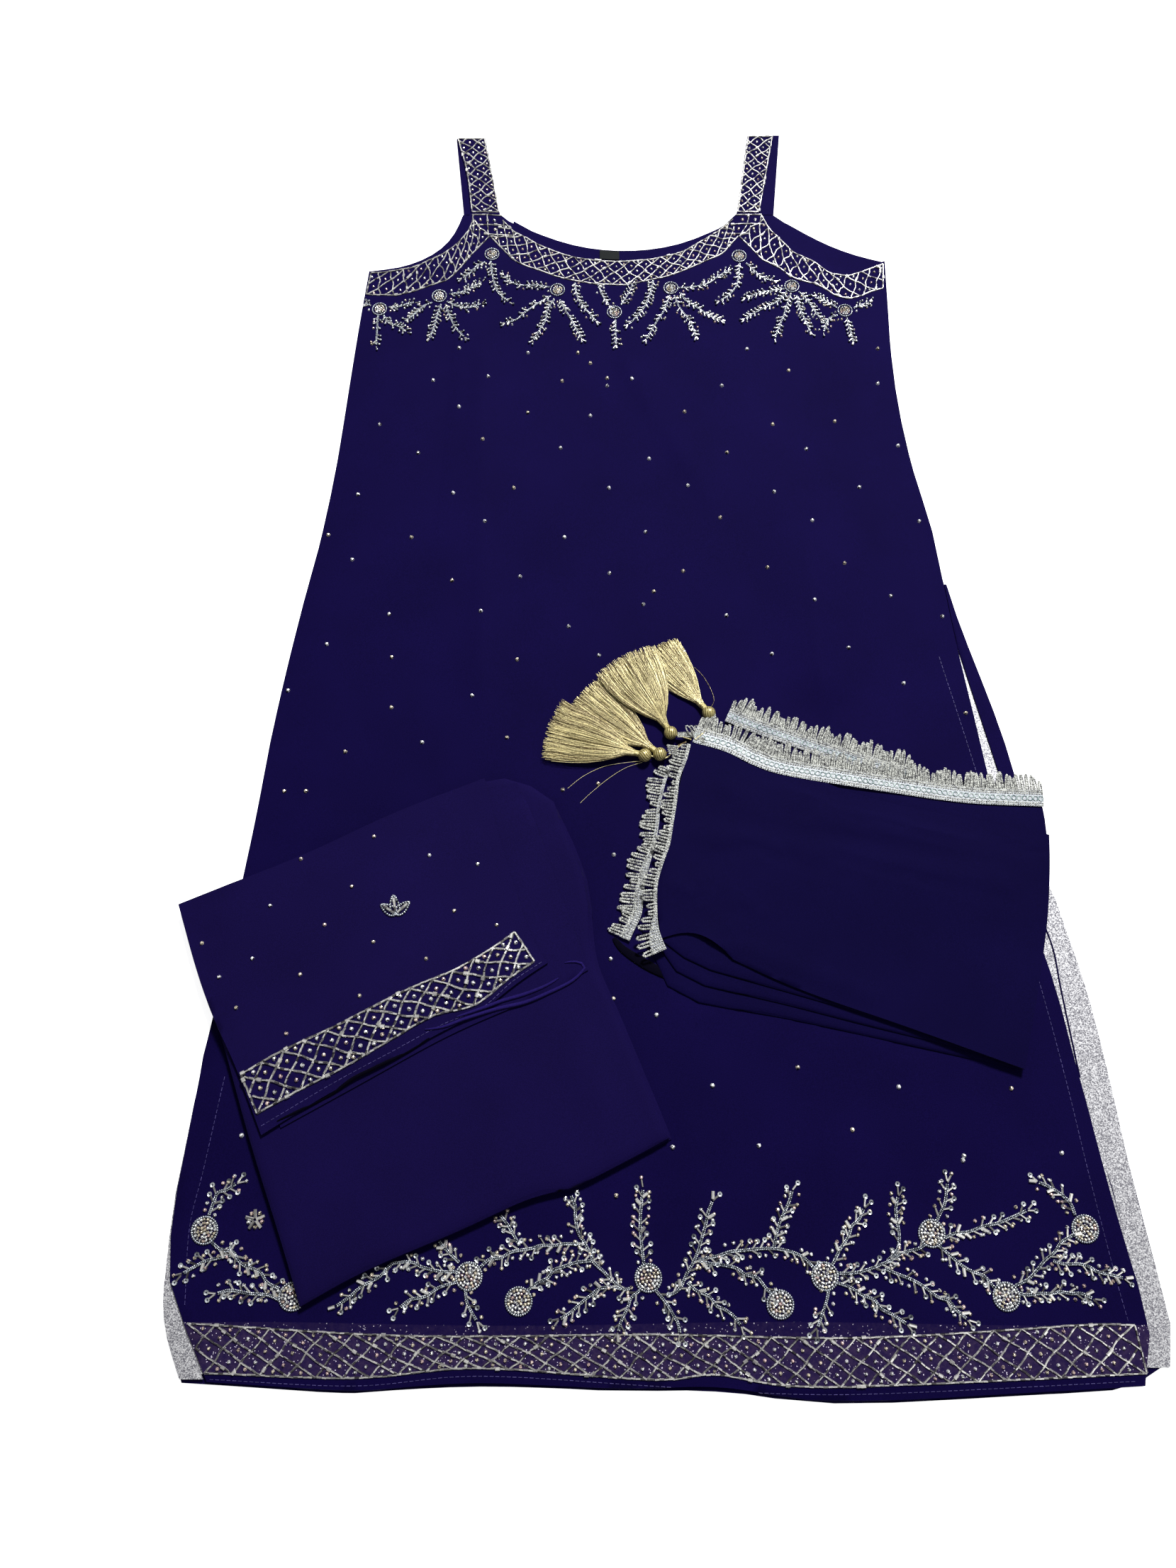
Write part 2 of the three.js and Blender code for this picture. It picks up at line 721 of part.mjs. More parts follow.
function palazzoStack() {
  const layer = packetHeight / packetLayers;
  const uneven = { bottom: [0.6, -0.6, 0], right: [1.5, 0, -1], top: [0, 0.5, -0.5], left: [0.6, 0, -0.4] };
  const rings = [];
  for (let k = 0; k < packetLayers; k++) {
    const floor = stackBottom + layer * k;
    const out = (base) => (side) => base + uneven[side][k];
    rings.push({ z: floor + 0.04 * layer, out: out(-1.2) });
    rings.push({ z: floor + 0.5 * layer, out: out(0) });
  }
  rings.push({ z: stackBottom + packetHeight, out: () => -3 });
  return foldedPacket({
    edges: packetEdges,
    columns: 14,
    rows: 12,
    rings,
    lid: (x, y) => stackBottom + packetHeight + creaseHeight(packetRelief, x, y),
    droop: overhangDroop,
  });
}

const legUnderBottom = stackBottom + packetHeight + seamGap;
const legTopBottom = legUnderBottom + clothThickness + seamGap;

function palazzoLegUnder() {
  return clothWall({
    across: evenShares(9),
    along: evenShares(7),
    plan: patchPlan(legUnderEdges),
    bottom: (x, y) => legUnderBottom - overhangDroop(x, y),
  });
}

function palazzoLegTop() {
  return clothWall({
    across: evenShares(12),
    along: evenShares(9),
    plan: patchPlan(legTopEdges),
    bottom: (x, y) => legTopBottom - overhangDroop(x, y) + creaseHeight(legRelief, x, y),
  });
}

// Dupatta

const dupattaLid = stackBottom + dupattaFoldHeight * dupattaFolds;

function dupattaStack() {
  const reach = {};
  for (const [side, rows] of Object.entries(dupattaLedges)) {
    reach[side] = { low: tableCurve(rows, "at", "low"), middle: tableCurve(rows, "at", "middle") };
  }
  const flush = () => 0;
  const ledges = [(side, at) => reach[side].low(at), (side, at) => reach[side].middle(at), flush];
  const rings = [];
  ledges.forEach((ledge, k) => {
    const floor = stackBottom + dupattaFoldHeight * k;
    rings.push({ z: floor + 0.04, out: (side, at) => ledge(side, at) - 1 });
    rings.push({ z: floor + 1, out: ledge });
    rings.push({ z: floor + dupattaFoldHeight, out: (side, at) => ledge(side, at) - 1.4 });
  });
  return foldedPacket({
    edges: dupattaEdges,
    columns: 13,
    rows: 10,
    rings,
    lid: () => dupattaLid,
  });
}

function dupattaTop() {
  return clothWall({
    across: evenShares(13),
    along: [...evenShares(9).slice(0, -1), 0.94, 1],
    plan: patchPlan(dupattaTopEdges),
    bottom: (x, y) => dupattaLid + seamGap + creaseHeight(dupattaRelief, x, y),
  });
}

// One strip of lace: three stations for each finger, out to the tape's edge and on to the finger's tip.
// Its height goes from start to end half way along, where it leaves the top layer.
function laceStrip({ path, tape, droop, start, end, side, shortest, longest }) {
  const curve = planCurve(path);
  const fingers = Math.floor(curve.getLength() / lacePitch);
  const root = 0.6;
  const stations = [];
  for (let k = 0; k < fingers; k++) {
    const wave = Math.abs(Math.sin((Math.PI * (k + 0.7)) / 3.6));
    const reach = mix(shortest, longest, wave);
    for (const [share, length] of [[0, root], [0.28, reach], [0.72, reach]]) {
      stations.push({ at: (k + share) / fingers, reach: length });
    }
  }
  stations.push({ at: 1, reach: root });
  const across = [0, 1, 2];
  const skin = (extra) =>
    stations.map(({ at, reach }) => {
      const point = curve.getPointAt(at);
      const tangent = curve.getTangentAt(at);
      const outX = -tangent.y * side;
      const outY = tangent.x * side;
      const bottom = mix(start, end, smooth(0.45, 0.65, at));
      return across.map((k) => {
        const out = [0, tape, tape + reach][k];
        const fall = k === 2 ? (droop * reach) / longest : 0;
        return new THREE.Vector3(point.x + outX * out, point.y + outY * out, bottom + extra - fall);
      });
    });
  return side > 0
    ? closedBody(skin(0), skin(laceThickness))
    : closedBody(skin(0).reverse(), skin(laceThickness).reverse());
}

// Tassels

// A lock of thread: a three-sided bar through its stations
function lock(stations, radius) {
  const corners = [0, 1, 2].map((k) => (k * 2 * Math.PI) / 3);
  const points = [];
  const faces = [];
  stations.forEach(({ x, y, z, heading }) => {
    for (const corner of corners) {
      const sideways = Math.cos(corner) * radius;
      points.push(x - Math.sin(heading) * sideways, y + Math.cos(heading) * sideways);
      points.push(z + Math.sin(corner) * radius);
    }
  });
  for (let s = 0; s + 1 < stations.length; s++) {
    for (let k = 0; k < 3; k++) {
      const next = (k + 1) % 3;
      const a = s * 3 + k;
      const b = s * 3 + next;
      faces.push(a, b, b + 3, a, b + 3, a + 3);
    }
  }
  const last = (stations.length - 1) * 3;
  faces.push(0, 2, 1, last, last + 1, last + 2);
  const geometry = new THREE.BufferGeometry();
  geometry.setAttribute("position", new THREE.Float32BufferAttribute(points, 3));
  geometry.setIndex(faces);
  return geometry;
}

function tassel({ x, y, aim, fan, length, over }) {
  const headZ = stackBottom + headRadius;
  const centre = THREE.MathUtils.degToRad(aim);
  const halfFan = THREE.MathUtils.degToRad(fan / 2);
  const skirtZ = over ? stackBottom + 6.2 : stackBottom + 2.2;
  const tipZ = over ? stackBottom + 5 : stackBottom + 1.4;
  const head = new THREE.SphereGeometry(headRadius, 12, 8);
  head.translate(x, y, headZ);
  const heightAt = (s) => mix(headZ, skirtZ, smooth(headRadius, skirtLength, s));
  // Neck and skirt root: a lathe-like bar whose section widens and flattens
  const rootStations = [
    { s: 3, half: 2, thick: 2 },
    { s: 8, half: 2.2, thick: 2.2 },
    { s: 13, half: 4.2, thick: 2.6 },
    { s: skirtLength, half: 0.92 * skirtLength * Math.tan(halfFan), thick: 1.7 },
  ];
  const sides = 8;
  const rootPoints = [];
  const rootFaces = [];
  for (const { s, half, thick } of rootStations) {
    for (let k = 0; k < sides; k++) {
      const angle = (k * 2 * Math.PI) / sides;
      const sideways = Math.cos(angle) * half;
      rootPoints.push(
        x + Math.cos(centre) * s - Math.sin(centre) * sideways,
        y + Math.sin(centre) * s + Math.cos(centre) * sideways,
        heightAt(s) + Math.sin(angle) * thick,
      );
    }
  }
  for (let r = 0; r + 1 < rootStations.length; r++) {
    for (let k = 0; k < sides; k++) {
      const a = r * sides + k;
      const b = r * sides + ((k + 1) % sides);
      rootFaces.push(a, b, b + sides, a, b + sides, a + sides);
    }
  }
  const end = (rootStations.length - 1) * sides;
  for (let k = 1; k + 1 < sides; k++) {
    rootFaces.push(0, k + 1, k, end, end + k, end + k + 1);
  }
  const root = new THREE.BufferGeometry();
  root.setAttribute("position", new THREE.Float32BufferAttribute(rootPoints, 3));
  root.setIndex(rootFaces);
  const locks = [];
  for (let layer = 0; layer < 2; layer++) {
    for (let k = 0; k < locksPerLayer; k++) {
      const share = (k + 0.25 + 0.5 * layer) / locksPerLayer;
      const heading = centre + mix(-halfFan, halfFan, share);
      const reach = length * (1 - 0.05 * ((k * 7 + layer * 3) % 4) / 3);
      const step = layer === 0 ? -0.75 : 0.75;
      const rootHeading = mix(centre, heading, 0.8);
      const stations = [
        { s: 0.75 * skirtLength, towards: rootHeading, z: skirtZ + 0.6 * step },
        { s: reach, towards: heading, z: tipZ + step },
      ].map(({ s, towards, z }) => ({
        x: x + Math.cos(towards) * s,
        y: y + Math.sin(towards) * s,
        z,
        heading,
      }));
      locks.push(lock(stations, 0.62));
    }
  }
  return joined([head, root, ...locks]);
}

// The whole set

const set = new THREE.Group();

function addPiece(name, geometry, cloth) {
  const shiny = metallicCloths.includes(cloth);
  const material = new THREE.MeshStandardMaterial({
    color: colours[cloth],
    roughness: shiny ? 0.4 : 0.8,
    metalness: shiny ? 0.6 : 0,
  });
  geometry.computeVertexNormals();
  const mesh = new THREE.Mesh(geometry, material);
  mesh.name = name;
  set.add(mesh);
}

addPiece("kurta_back", kurtaBack(), "kurta");
addPiece("kurta_front", kurtaFront(), "kurta");
straps.forEach((row) => addPiece(row.name, strap(row), "kurta"));
addPiece("back_neck_facing", backNeckFacing(), "kurta");
addPiece("neck_label", neckLabel(), "label");
addPiece("back_facing_left", backFacingLeft(), "silver");
addPiece("back_facing_right", backFacingRight(), "silver");
addPiece("front_facing_left", frontFacingLeft(), "silver");
addPiece("front_facing_right", frontFacingRight(), "silver");
addPiece("front_hem_facing", frontHemFacing(), "silver");
addPiece("palazzo_stack", palazzoStack(), "palazzo");
addPiece("palazzo_leg_under", palazzoLegUnder(), "palazzo");
addPiece("palazzo_leg_top", palazzoLegTop(), "palazzo");
addPiece("dupatta_stack", dupattaStack(), "dupatta");
addPiece("dupatta_top", dupattaTop(), "dupatta");
laceStrips.forEach((row) => addPiece(row.name, laceStrip(row), "lace"));
tassels.forEach((row) => addPiece(row.name, tassel(row), "thread"));

// The frame's origin is the middle of the laid set, on the floor
const middle = new THREE.Box3().setFromObject(set).getCenter(new THREE.Vector3());
set.position.set(-middle.x, -middle.y, 0);

export default set;
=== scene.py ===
import math
import random

import bmesh
import bpy
import numpy as np
from mathutils import Matrix, Vector, noise
from mathutils.bvhtree import BVHTree


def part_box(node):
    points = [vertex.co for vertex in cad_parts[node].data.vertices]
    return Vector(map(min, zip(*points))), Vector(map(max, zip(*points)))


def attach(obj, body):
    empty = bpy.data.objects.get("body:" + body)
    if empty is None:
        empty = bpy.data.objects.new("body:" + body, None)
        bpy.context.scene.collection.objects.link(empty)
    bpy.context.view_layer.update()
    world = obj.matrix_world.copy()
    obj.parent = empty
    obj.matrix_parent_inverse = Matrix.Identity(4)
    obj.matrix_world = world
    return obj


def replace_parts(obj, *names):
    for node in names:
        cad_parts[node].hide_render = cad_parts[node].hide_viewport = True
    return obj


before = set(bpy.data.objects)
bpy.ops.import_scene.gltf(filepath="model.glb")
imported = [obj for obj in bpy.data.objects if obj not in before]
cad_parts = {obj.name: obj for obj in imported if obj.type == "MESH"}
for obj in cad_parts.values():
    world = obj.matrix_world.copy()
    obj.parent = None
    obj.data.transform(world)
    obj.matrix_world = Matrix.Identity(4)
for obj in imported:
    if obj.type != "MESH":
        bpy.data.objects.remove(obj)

print("kurta palazzo set: frame loaded")
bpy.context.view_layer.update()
scene = bpy.context.scene
mm = 0.001
dice = random.Random(11)

# The tables below are millimetres from the kurta's own middle, and the frame's origin is the set's middle
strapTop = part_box("strap_back_right")[1]
shift = Vector((strapTop.x - 143 * mm, strapTop.y - 551 * mm, 0))


def onPlan(vert):
    # a vertex's place in the tables' millimetres
    return (vert.co.x - shift.x) / mm, (vert.co.y - shift.y) / mm


def inSpace(x, y, z):
    # a place of the tables in the scene's metres
    return Vector((x * mm, y * mm, z * mm)) + shift


# Camera: above the set and tilted towards the straps, as the set was looked at
view = {"tilt": 18.0, "lens": 27.0, "x": -42, "y": -398, "height": 890}

cameraData = bpy.data.cameras.new("camera")
cameraData.lens = view["lens"]
camera = bpy.data.objects.new("camera", cameraData)
camera.location = inSpace(view["x"], view["y"], view["height"])
camera.rotation_euler = (math.radians(view["tilt"]), 0, 0)
scene.collection.objects.link(camera)
scene.camera = camera


def underView(x, y, height):
    # where a point at this height lies when it is seen at x, y on the floor
    share = 1 - height / view["height"]
    return view["x"] + (x - view["x"]) * share, view["y"] + (y - view["y"]) * share


# Small helpers for numbers and smooth lines

def mix(a, b, t):
    return a + (b - a) * t


def around(x, y, radius, angle):
    return x + radius * math.cos(angle), y + radius * math.sin(angle)


def ease(start, end, value):
    t = min(1.0, max(0.0, (value - start) / (end - start)))
    return t * t * (3 - 2 * t)


class SmoothLine:
    # a smooth plan line through points, asked for by the distance along it in millimetres
    def __init__(self, points):
        p = np.array(points, float)
        ends = np.vstack([2 * p[0] - p[1], p, 2 * p[-1] - p[-2]])
        t = np.linspace(0, 1, 13)[:-1, None]
        run = []
        for a, b, c, d in zip(ends, ends[1:], ends[2:], ends[3:]):
            square = (2 * a - 5 * b + 4 * c - d) * t**2
            cube = (3 * b - a - 3 * c + d) * t**3
            run.append(0.5 * (2 * b + (c - a) * t + square + cube))
        self.run = np.vstack(run + [p[-1:]])
        steps = np.linalg.norm(np.diff(self.run, axis=0), axis=1)
        self.along = np.concatenate([[0], np.cumsum(steps)])
        self.length = self.along[-1]

    def at(self, distance):
        return np.array([np.interp(distance, self.along, self.run[:, k]) for k in (0, 1)])

    def share(self, share):
        return self.at(share * self.length)

    def heading(self, distance):
        before = self.at(max(0, distance - 0.5))
        after = self.at(min(self.length, distance + 0.5))
        return math.atan2(after[1] - before[1], after[0] - before[0])


# Shader sockets that can be written as sums

class Wire:
    def __init__(self, tree, socket=None):
        self.tree = tree
        self.socket = socket

    def plug(self, target, value):
        if isinstance(value, Wire):
            self.tree.links.new(value.socket, target)
        else:
            target.default_value = value

    def node(self, kind, settings=None, sockets=None, out=0):
        made = self.tree.nodes.new(kind)
        for name, value in (settings or {}).items():
            setattr(made, name, value)
        for name, value in (sockets or {}).items():
            self.plug(made.inputs[name], value)
        return Wire(self.tree, made.outputs[out])

    def maths(self, operation, *values):
        return self.node("ShaderNodeMath", {"operation": operation}, dict(enumerate(values)))

    def __add__(self, other):
        return self.maths("ADD", self, other)

    def __radd__(self, other):
        return self.maths("ADD", other, self)

    def __sub__(self, other):
        return self.maths("SUBTRACT", self, other)

    def __rsub__(self, other):
        return self.maths("SUBTRACT", other, self)

    def __mul__(self, other):
        return self.maths("MULTIPLY", self, other)

    def __rmul__(self, other):
        return self.maths("MULTIPLY", other, self)

    def __gt__(self, other):
        return self.maths("GREATER_THAN", self, other)

    def __lt__(self, other):
        return self.maths("LESS_THAN", self, other)

    def between(self, low, high):
        # eases from 0 at low to 1 at high
        kind = {"interpolation_type": "SMOOTHSTEP"}
        return self.node("ShaderNodeMapRange", kind, {0: self, 1: low, 2: high})

    def blend(self, dark, light):
        # a colour between two colours, this wire's value being the share of the second
        kind = {"data_type": "RGBA"}
        return self.node("ShaderNodeMix", kind, {0: self, 6: dark, 7: light}, out=2)

    def place(self):
        return self.node("ShaderNodeTexCoord", out=3)

    def noise(self, scale, detail=2.0, roughness=0.5):
        sockets = {"Vector": self.place(), "Scale": scale, "Detail": detail, "Roughness": roughness}
        return self.node("ShaderNodeTexNoise", sockets=sockets)

    def cells(self, scale, out=0):
        sockets = {"Vector": self.place(), "Scale": scale}
        return self.node("ShaderNodeTexVoronoi", sockets=sockets, out=out)

    def attribute(self, name):
        kind = {"attribute_type": "GEOMETRY", "attribute_name": name}
        return self.node("ShaderNodeAttribute", kind, out=2)

    def island(self):
        # each thread or bead has its own value
        return self.node("ShaderNodeNewGeometry", out="Random Per Island")

    def bump(self, height, distance, strength=1.0):
        sockets = {"Height": height, "Distance": distance, "Strength": strength}
        return self.node("ShaderNodeBump", sockets=sockets)


def srgb(red, green, blue):
    # a colour as it looks on the cloth, 0 to 255, made linear
    def linear(value):
        v = value / 255
        return v / 12.92 if v <= 0.04045 else ((v + 0.055) / 1.055) ** 2.4
    return (linear(red), linear(green), linear(blue), 1.0)


def newMaterial(name, build, **constants):
    # build returns what is linked to the shader's sockets; constants are set on them directly
    material = bpy.data.materials.new(name)
    material.use_nodes = True
    tree = material.node_tree
    shader = tree.nodes["Principled BSDF"]
    for socket, value in constants.items():
        shader.inputs[socket].default_value = value
    start = Wire(tree)
    for socket, value in build(start).items():
        start.plug(shader.inputs[socket], value)
    return material


# Cloths

cloths = {
    "kurta": {"dark": (6, 2, 38), "light": (12, 5, 53), "weave": 0.10},
    "palazzo": {"dark": (11, 5, 43), "light": (17, 9, 58), "weave": 0.12},
    "dupatta": {"dark": (5, 2, 35), "light": (10, 5, 48), "weave": 0.08},
}


def clothLook(wire, row):
    # crepe: fine grain, slow cloudiness and a crinkled yarn that catches the light, with painted shade
    # where one folded layer stands on the next
    grain = wire.noise(1400.0, 3.0, 0.6)
    cloud = wire.noise(14.0, 3.0)
    share = (0.3 * cloud + 0.7 * grain).between(0.25, 0.75)
    threads = wire.noise(2600.0, 1.0)
    colour = share.blend(srgb(*row["dark"]), srgb(*row["light"]))
    # painted shade: near black at the foot of each folded layer's step
    fold = wire.attribute("foldShade").between(0.45, 0.95)
    colour = fold.blend(colour, srgb(2, 1, 12))
    height = 0.6 * grain + 0.4 * threads
    return colour, wire.bump(height, row["weave"] * mm, 0.7)


def plainCloth(row):
    def build(wire):
        colour, normal = clothLook(wire, row)
        return {"Base Color": colour, "Normal": normal}
    return build


def kurtaFrontCloth(wire):
    # the sheer hem: the silver facing shows through between its straight top edge and the band's foot
    colour, normal = clothLook(wire, cloths["kurta"])
    depth = wire.attribute("hemDepth")
    facing = wire.attribute("facingTop")
    bandTop = wire.attribute("bandTop")
    show = depth.between(-0.4, 0.4) * facing.between(-0.5, 0.3)
    glow = wire.noise(260.0, 4.0, 0.7).between(0.35, 0.7)
    tint = glow.blend(srgb(32, 22, 58), srgb(50, 38, 66))
    inBand = bandTop.between(-0.5, 1.0)
    # painted glints: a few tiny cells of the lurex facing showing through go near white
    spark = wire.node("ShaderNodeSeparateColor", sockets={0: wire.cells(1500.0, 1)})
    glint = (spark > 0.98) * show * (0.5 + 0.5 * inBand)
    show = show * (0.3 + 0.5 * inBand)
    under = show.blend(colour, tint)
    return {
        "Base Color": glint.blend(under, srgb(190, 182, 200)),
        "Roughness": 0.8 - 0.4 * glint,
        "Normal": normal,
    }


def silverLurex(wire):
    # flat metallic yarn: each short float faces its own way, and how much light it throws back is painted
    # into its colour, dark to light, beside its metal and roughness
    flake = wire.node("ShaderNodeSeparateColor", sockets={0: wire.cells(1500.0, 1)})
    cloud = wire.noise(90.0, 3.0)
    share = (0.85 * flake + 0.15 * cloud).between(0.1, 0.95)
    colour = share.blend(srgb(104, 103, 112), srgb(216, 216, 218))
    return {
        "Base Color": colour,
        "Roughness": 0.3 + 0.4 * flake,
        "Metallic": 0.35 + 0.35 * (flake > 0.5),
        "Normal": wire.bump(flake, 0.3 * mm, 0.6),
    }


soft = {"Roughness": 0.8, "Specular IOR Level": 0.03, "Sheen Weight": 0.02, "Sheen Roughness": 0.4}
kurtaMaterial = newMaterial("kurtaCrepe", plainCloth(cloths["kurta"]), **soft)
kurtaFrontMaterial = newMaterial("kurtaFrontCrepe", kurtaFrontCloth, **soft)
palazzoMaterial = newMaterial("palazzoCrepe", plainCloth(cloths["palazzo"]), **soft)
dupattaMaterial = newMaterial("dupattaCrepe", plainCloth(cloths["dupatta"]), **soft)
lurexMaterial = newMaterial("silverLurex", silverLurex)


def labelSatin(wire):
    weave = wire.noise(1500.0, 2.0)
    colour = weave.blend(srgb(3, 7, 7), srgb(14, 19, 19))
    return {"Base Color": colour, "Normal": wire.bump(weave, 0.1 * mm)}


labelMaterial = newMaterial("labelSatin", labelSatin, **{"Roughness": 0.6, "Specular IOR Level": 0.08})


# Cloth pieces: copies of the frame's walls, made finer, smoothed and creased

def looseCopy(node):
    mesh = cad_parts[node].data.copy()
    shape = bmesh.new()
    shape.from_mesh(mesh)
    bpy.data.meshes.remove(mesh)
    bmesh.ops.remove_doubles(shape, verts=shape.verts, dist=0.005 * mm)
    return shape


def isSharp(edge, angle=1.0):
    return len(edge.link_faces) == 2 and edge.calc_face_angle() > angle


def rimVerts(shape):
    rim = set()
    for edge in shape.edges:
        if isSharp(edge):
            rim.update(edge.verts)
    return rim


def roundRim(shape, rounds, corner):
    # the edge runs in smooth curves; corners that turn by more than this stay sharp
    runs = {}
    for vert in shape.verts:
        sharp = [edge for edge in vert.link_edges if isSharp(edge)]
        if len(sharp) == 2:
            a, b = (e.other_vert(vert) for e in sharp)
            turn = (vert.co - a.co).xy.angle_signed((b.co - vert.co).xy, 9)
            if abs(turn) < corner:
                runs[vert] = (a, b)
    for _ in range(rounds):
        moved = {v: v.co.xy * 0.5 + (a.co.xy + b.co.xy) * 0.25 for v, (a, b) in runs.items()}
        for vert, spot in moved.items():
            vert.co.xy = spot


def finish(shape, name, material, slot, smoothAngle=0.9):
    for face in shape.faces:
        face.smooth = True
    for edge in shape.edges:
        if isSharp(edge, smoothAngle):
            edge.smooth = False
    mesh = bpy.data.meshes.new(name)
    shape.to_mesh(mesh)
    shape.free()
    return place(mesh, name, material, slot)


def place(mesh, name, material, slot):
    mesh.materials.clear()
    mesh.materials.append(material)
    piece = bpy.data.objects.new(name, mesh)
    scene.collection.objects.link(piece)
    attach(piece, "root")
    return piece


def surfaceOf(*pieces):
    points = []
    faces = []
    for piece in pieces:
        start = len(points)
        points.extend(v.co.copy() for v in piece.data.vertices)
        faces.extend([start + i for i in p.vertices] for p in piece.data.polygons)
    return BVHTree.FromPolygons(points, faces)


coverNodes = ("palazzo_stack", "palazzo_leg_under", "palazzo_leg_top", "dupatta_stack", "dupatta_top")
covers = surfaceOf(*[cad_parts[name] for name in coverNodes])
lookFrom = 60  # height in millimetres from which the cloth below is looked for
down = Vector((0, 0, -1))
up = Vector((0, 0, 1))


def ridge(rows, x, y):
    # height of soft ridges: each row has two ends, a height and a half width
    best = 0.0
    for row in rows:
        (x0, y0), (x1, y1) = row["from"], row["to"]
        dx, dy = x1 - x0, y1 - y0
        length = math.hypot(dx, dy)
        along = ((x - x0) * dx + (y - y0) * dy) / length
        if 0 < along < length:
            across = abs((x - x0) * dy - (y - y0) * dx) / length
            ends = ease(0, 14, along) * ease(0, 14, length - along)
            best = max(best, row["height"] * ends * (1 - ease(0, row["half"], across)))
    return best


def shadeFolds(shape):
    # marks where one folded layer stands on the next, which no light reaches, for the painted shade there
    mark = shape.verts.layers.float.new("foldShade")
    shape.normal_update()
    for edge in shape.edges:
        if len(edge.link_faces) == 2 and edge.calc_face_angle_signed() < -0.7:
            for vert in edge.verts:
                vert[mark] = 1.0


def clothPiece(node, material, slot, cuts, rounds=4, relief=None):
    corner = 2.2 if node in coverNodes else 0.85
    shape = looseCopy(node)
    bmesh.ops.join_triangles(
        shape, faces=shape.faces, angle_face_threshold=0.5, angle_shape_threshold=3.1
    )
    if cuts:
        bmesh.ops.subdivide_edges(shape, edges=shape.edges, cuts=cuts, use_grid_fill=True)
    rim = rimVerts(shape)
    inner = [v for v in shape.verts if v not in rim]
    roundRim(shape, rounds * 2, corner)
    for _ in range(rounds):
        bmesh.ops.smooth_vert(shape, verts=inner, factor=0.5, use_axis_z=True)
    if relief:
        for vert in shape.verts:
            rise = relief(*onPlan(vert)) * mm
            hit = covers.ray_cast(vert.co + up * 0.1 * mm, up, 0.05)[0]
            if hit is not None:
                rise = max(0.0, min(rise, hit.z - vert.co.z - 1.5 * mm))
            vert.co.z += rise
    if node.endswith("_stack"):
        shadeFolds(shape)
    return finish(shape, node + "_cloth", material, slot)


frontCreases = [
    {"from": (-300, -131), "to": (-240, -134), "height": 1.0, "half": 7},
    {"from": (-298, -146), "to": (-222, -150), "height": 0.8, "half": 8},
    {"from": (168, 324), "to": (190, 255), "height": 1.0, "half": 8},
    {"from": (-14, 300), "to": (20, 222), "height": 0.9, "half": 9},
    {"from": (18, 230), "to": (74, 128), "height": 0.9, "half": 11},
    {"from": (-139, 330), "to": (-128, -60), "height": 0.8, "half": 6},
    {"from": (139, 345), "to": (142, 100), "height": 0.9, "half": 7},
    {"from": (143, 110), "to": (151, -62), "height": 1.4, "half": 8},
    {"from": (69, -284), "to": (74, -318), "height": 0.7, "half": 6},
    {"from": (23, -334), "to": (38, -410), "height": 0.9, "half": 8},
    {"from": (129, -352), "to": (136, -434), "height": 0.9, "half": 9},
    {"from": (170, -382), "to": (181, -420), "height": 0.7, "half": 7},
]


def frontRelief(x, y):
    slow = noise.noise(Vector((x / 70, y / 90, 0.4)))
    fine = noise.noise(Vector((x / 22, y / 40, 3.1)))
    calm = ease(-548, -520, y)
    return (0.45 + 0.45 * slow + 0.16 * fine) * calm + ridge(frontCreases, x, y)


palazzoCreases = [
    {"from": (-326, -285), "to": (-120, -150), "height": 0.5, "half": 26},
    {"from": (-270, -345), "to": (-96, -245), "height": 0.8, "half": 12},
    {"from": (-60, -180), "to": (-10, -350), "height": 0.8, "half": 6},
    {"from": (-78, -150), "to": (-40, -290), "height": 0.6, "half": 7},
    {"from": (-90, -395), "to": (-66, -425), "height": 1.1, "half": 9},
    {"from": (-40, -380), "to": (-28, -402), "height": 1.0, "half": 8},
    {"from": (-118, -400), "to": (-100, -434), "height": 0.9, "half": 9},
]


def palazzoRelief(x, y):
    slow = noise.noise(Vector((x / 50, y / 60, 7.4)))
    return 0.35 + 0.35 * slow + ridge(palazzoCreases, x, y)


dupattaCreases = [
    {"from": (30, -150), "to": (290, -196), "height": 0.9, "half": 16},
    {"from": (14, -190), "to": (98, -216), "height": 1.0, "half": 8},
    {"from": (60, -235), "to": (180, -282), "height": 0.8, "half": 12},
    {"from": (110, -135), "to": (240, -160), "height": 0.7, "half": 12},
]


def dupattaRelief(x, y):
    slow = noise.noise(Vector((x / 60, y / 45, 2.7)))
    return 0.4 + 0.4 * slow + ridge(dupattaCreases, x, y)


print("cloth pieces")
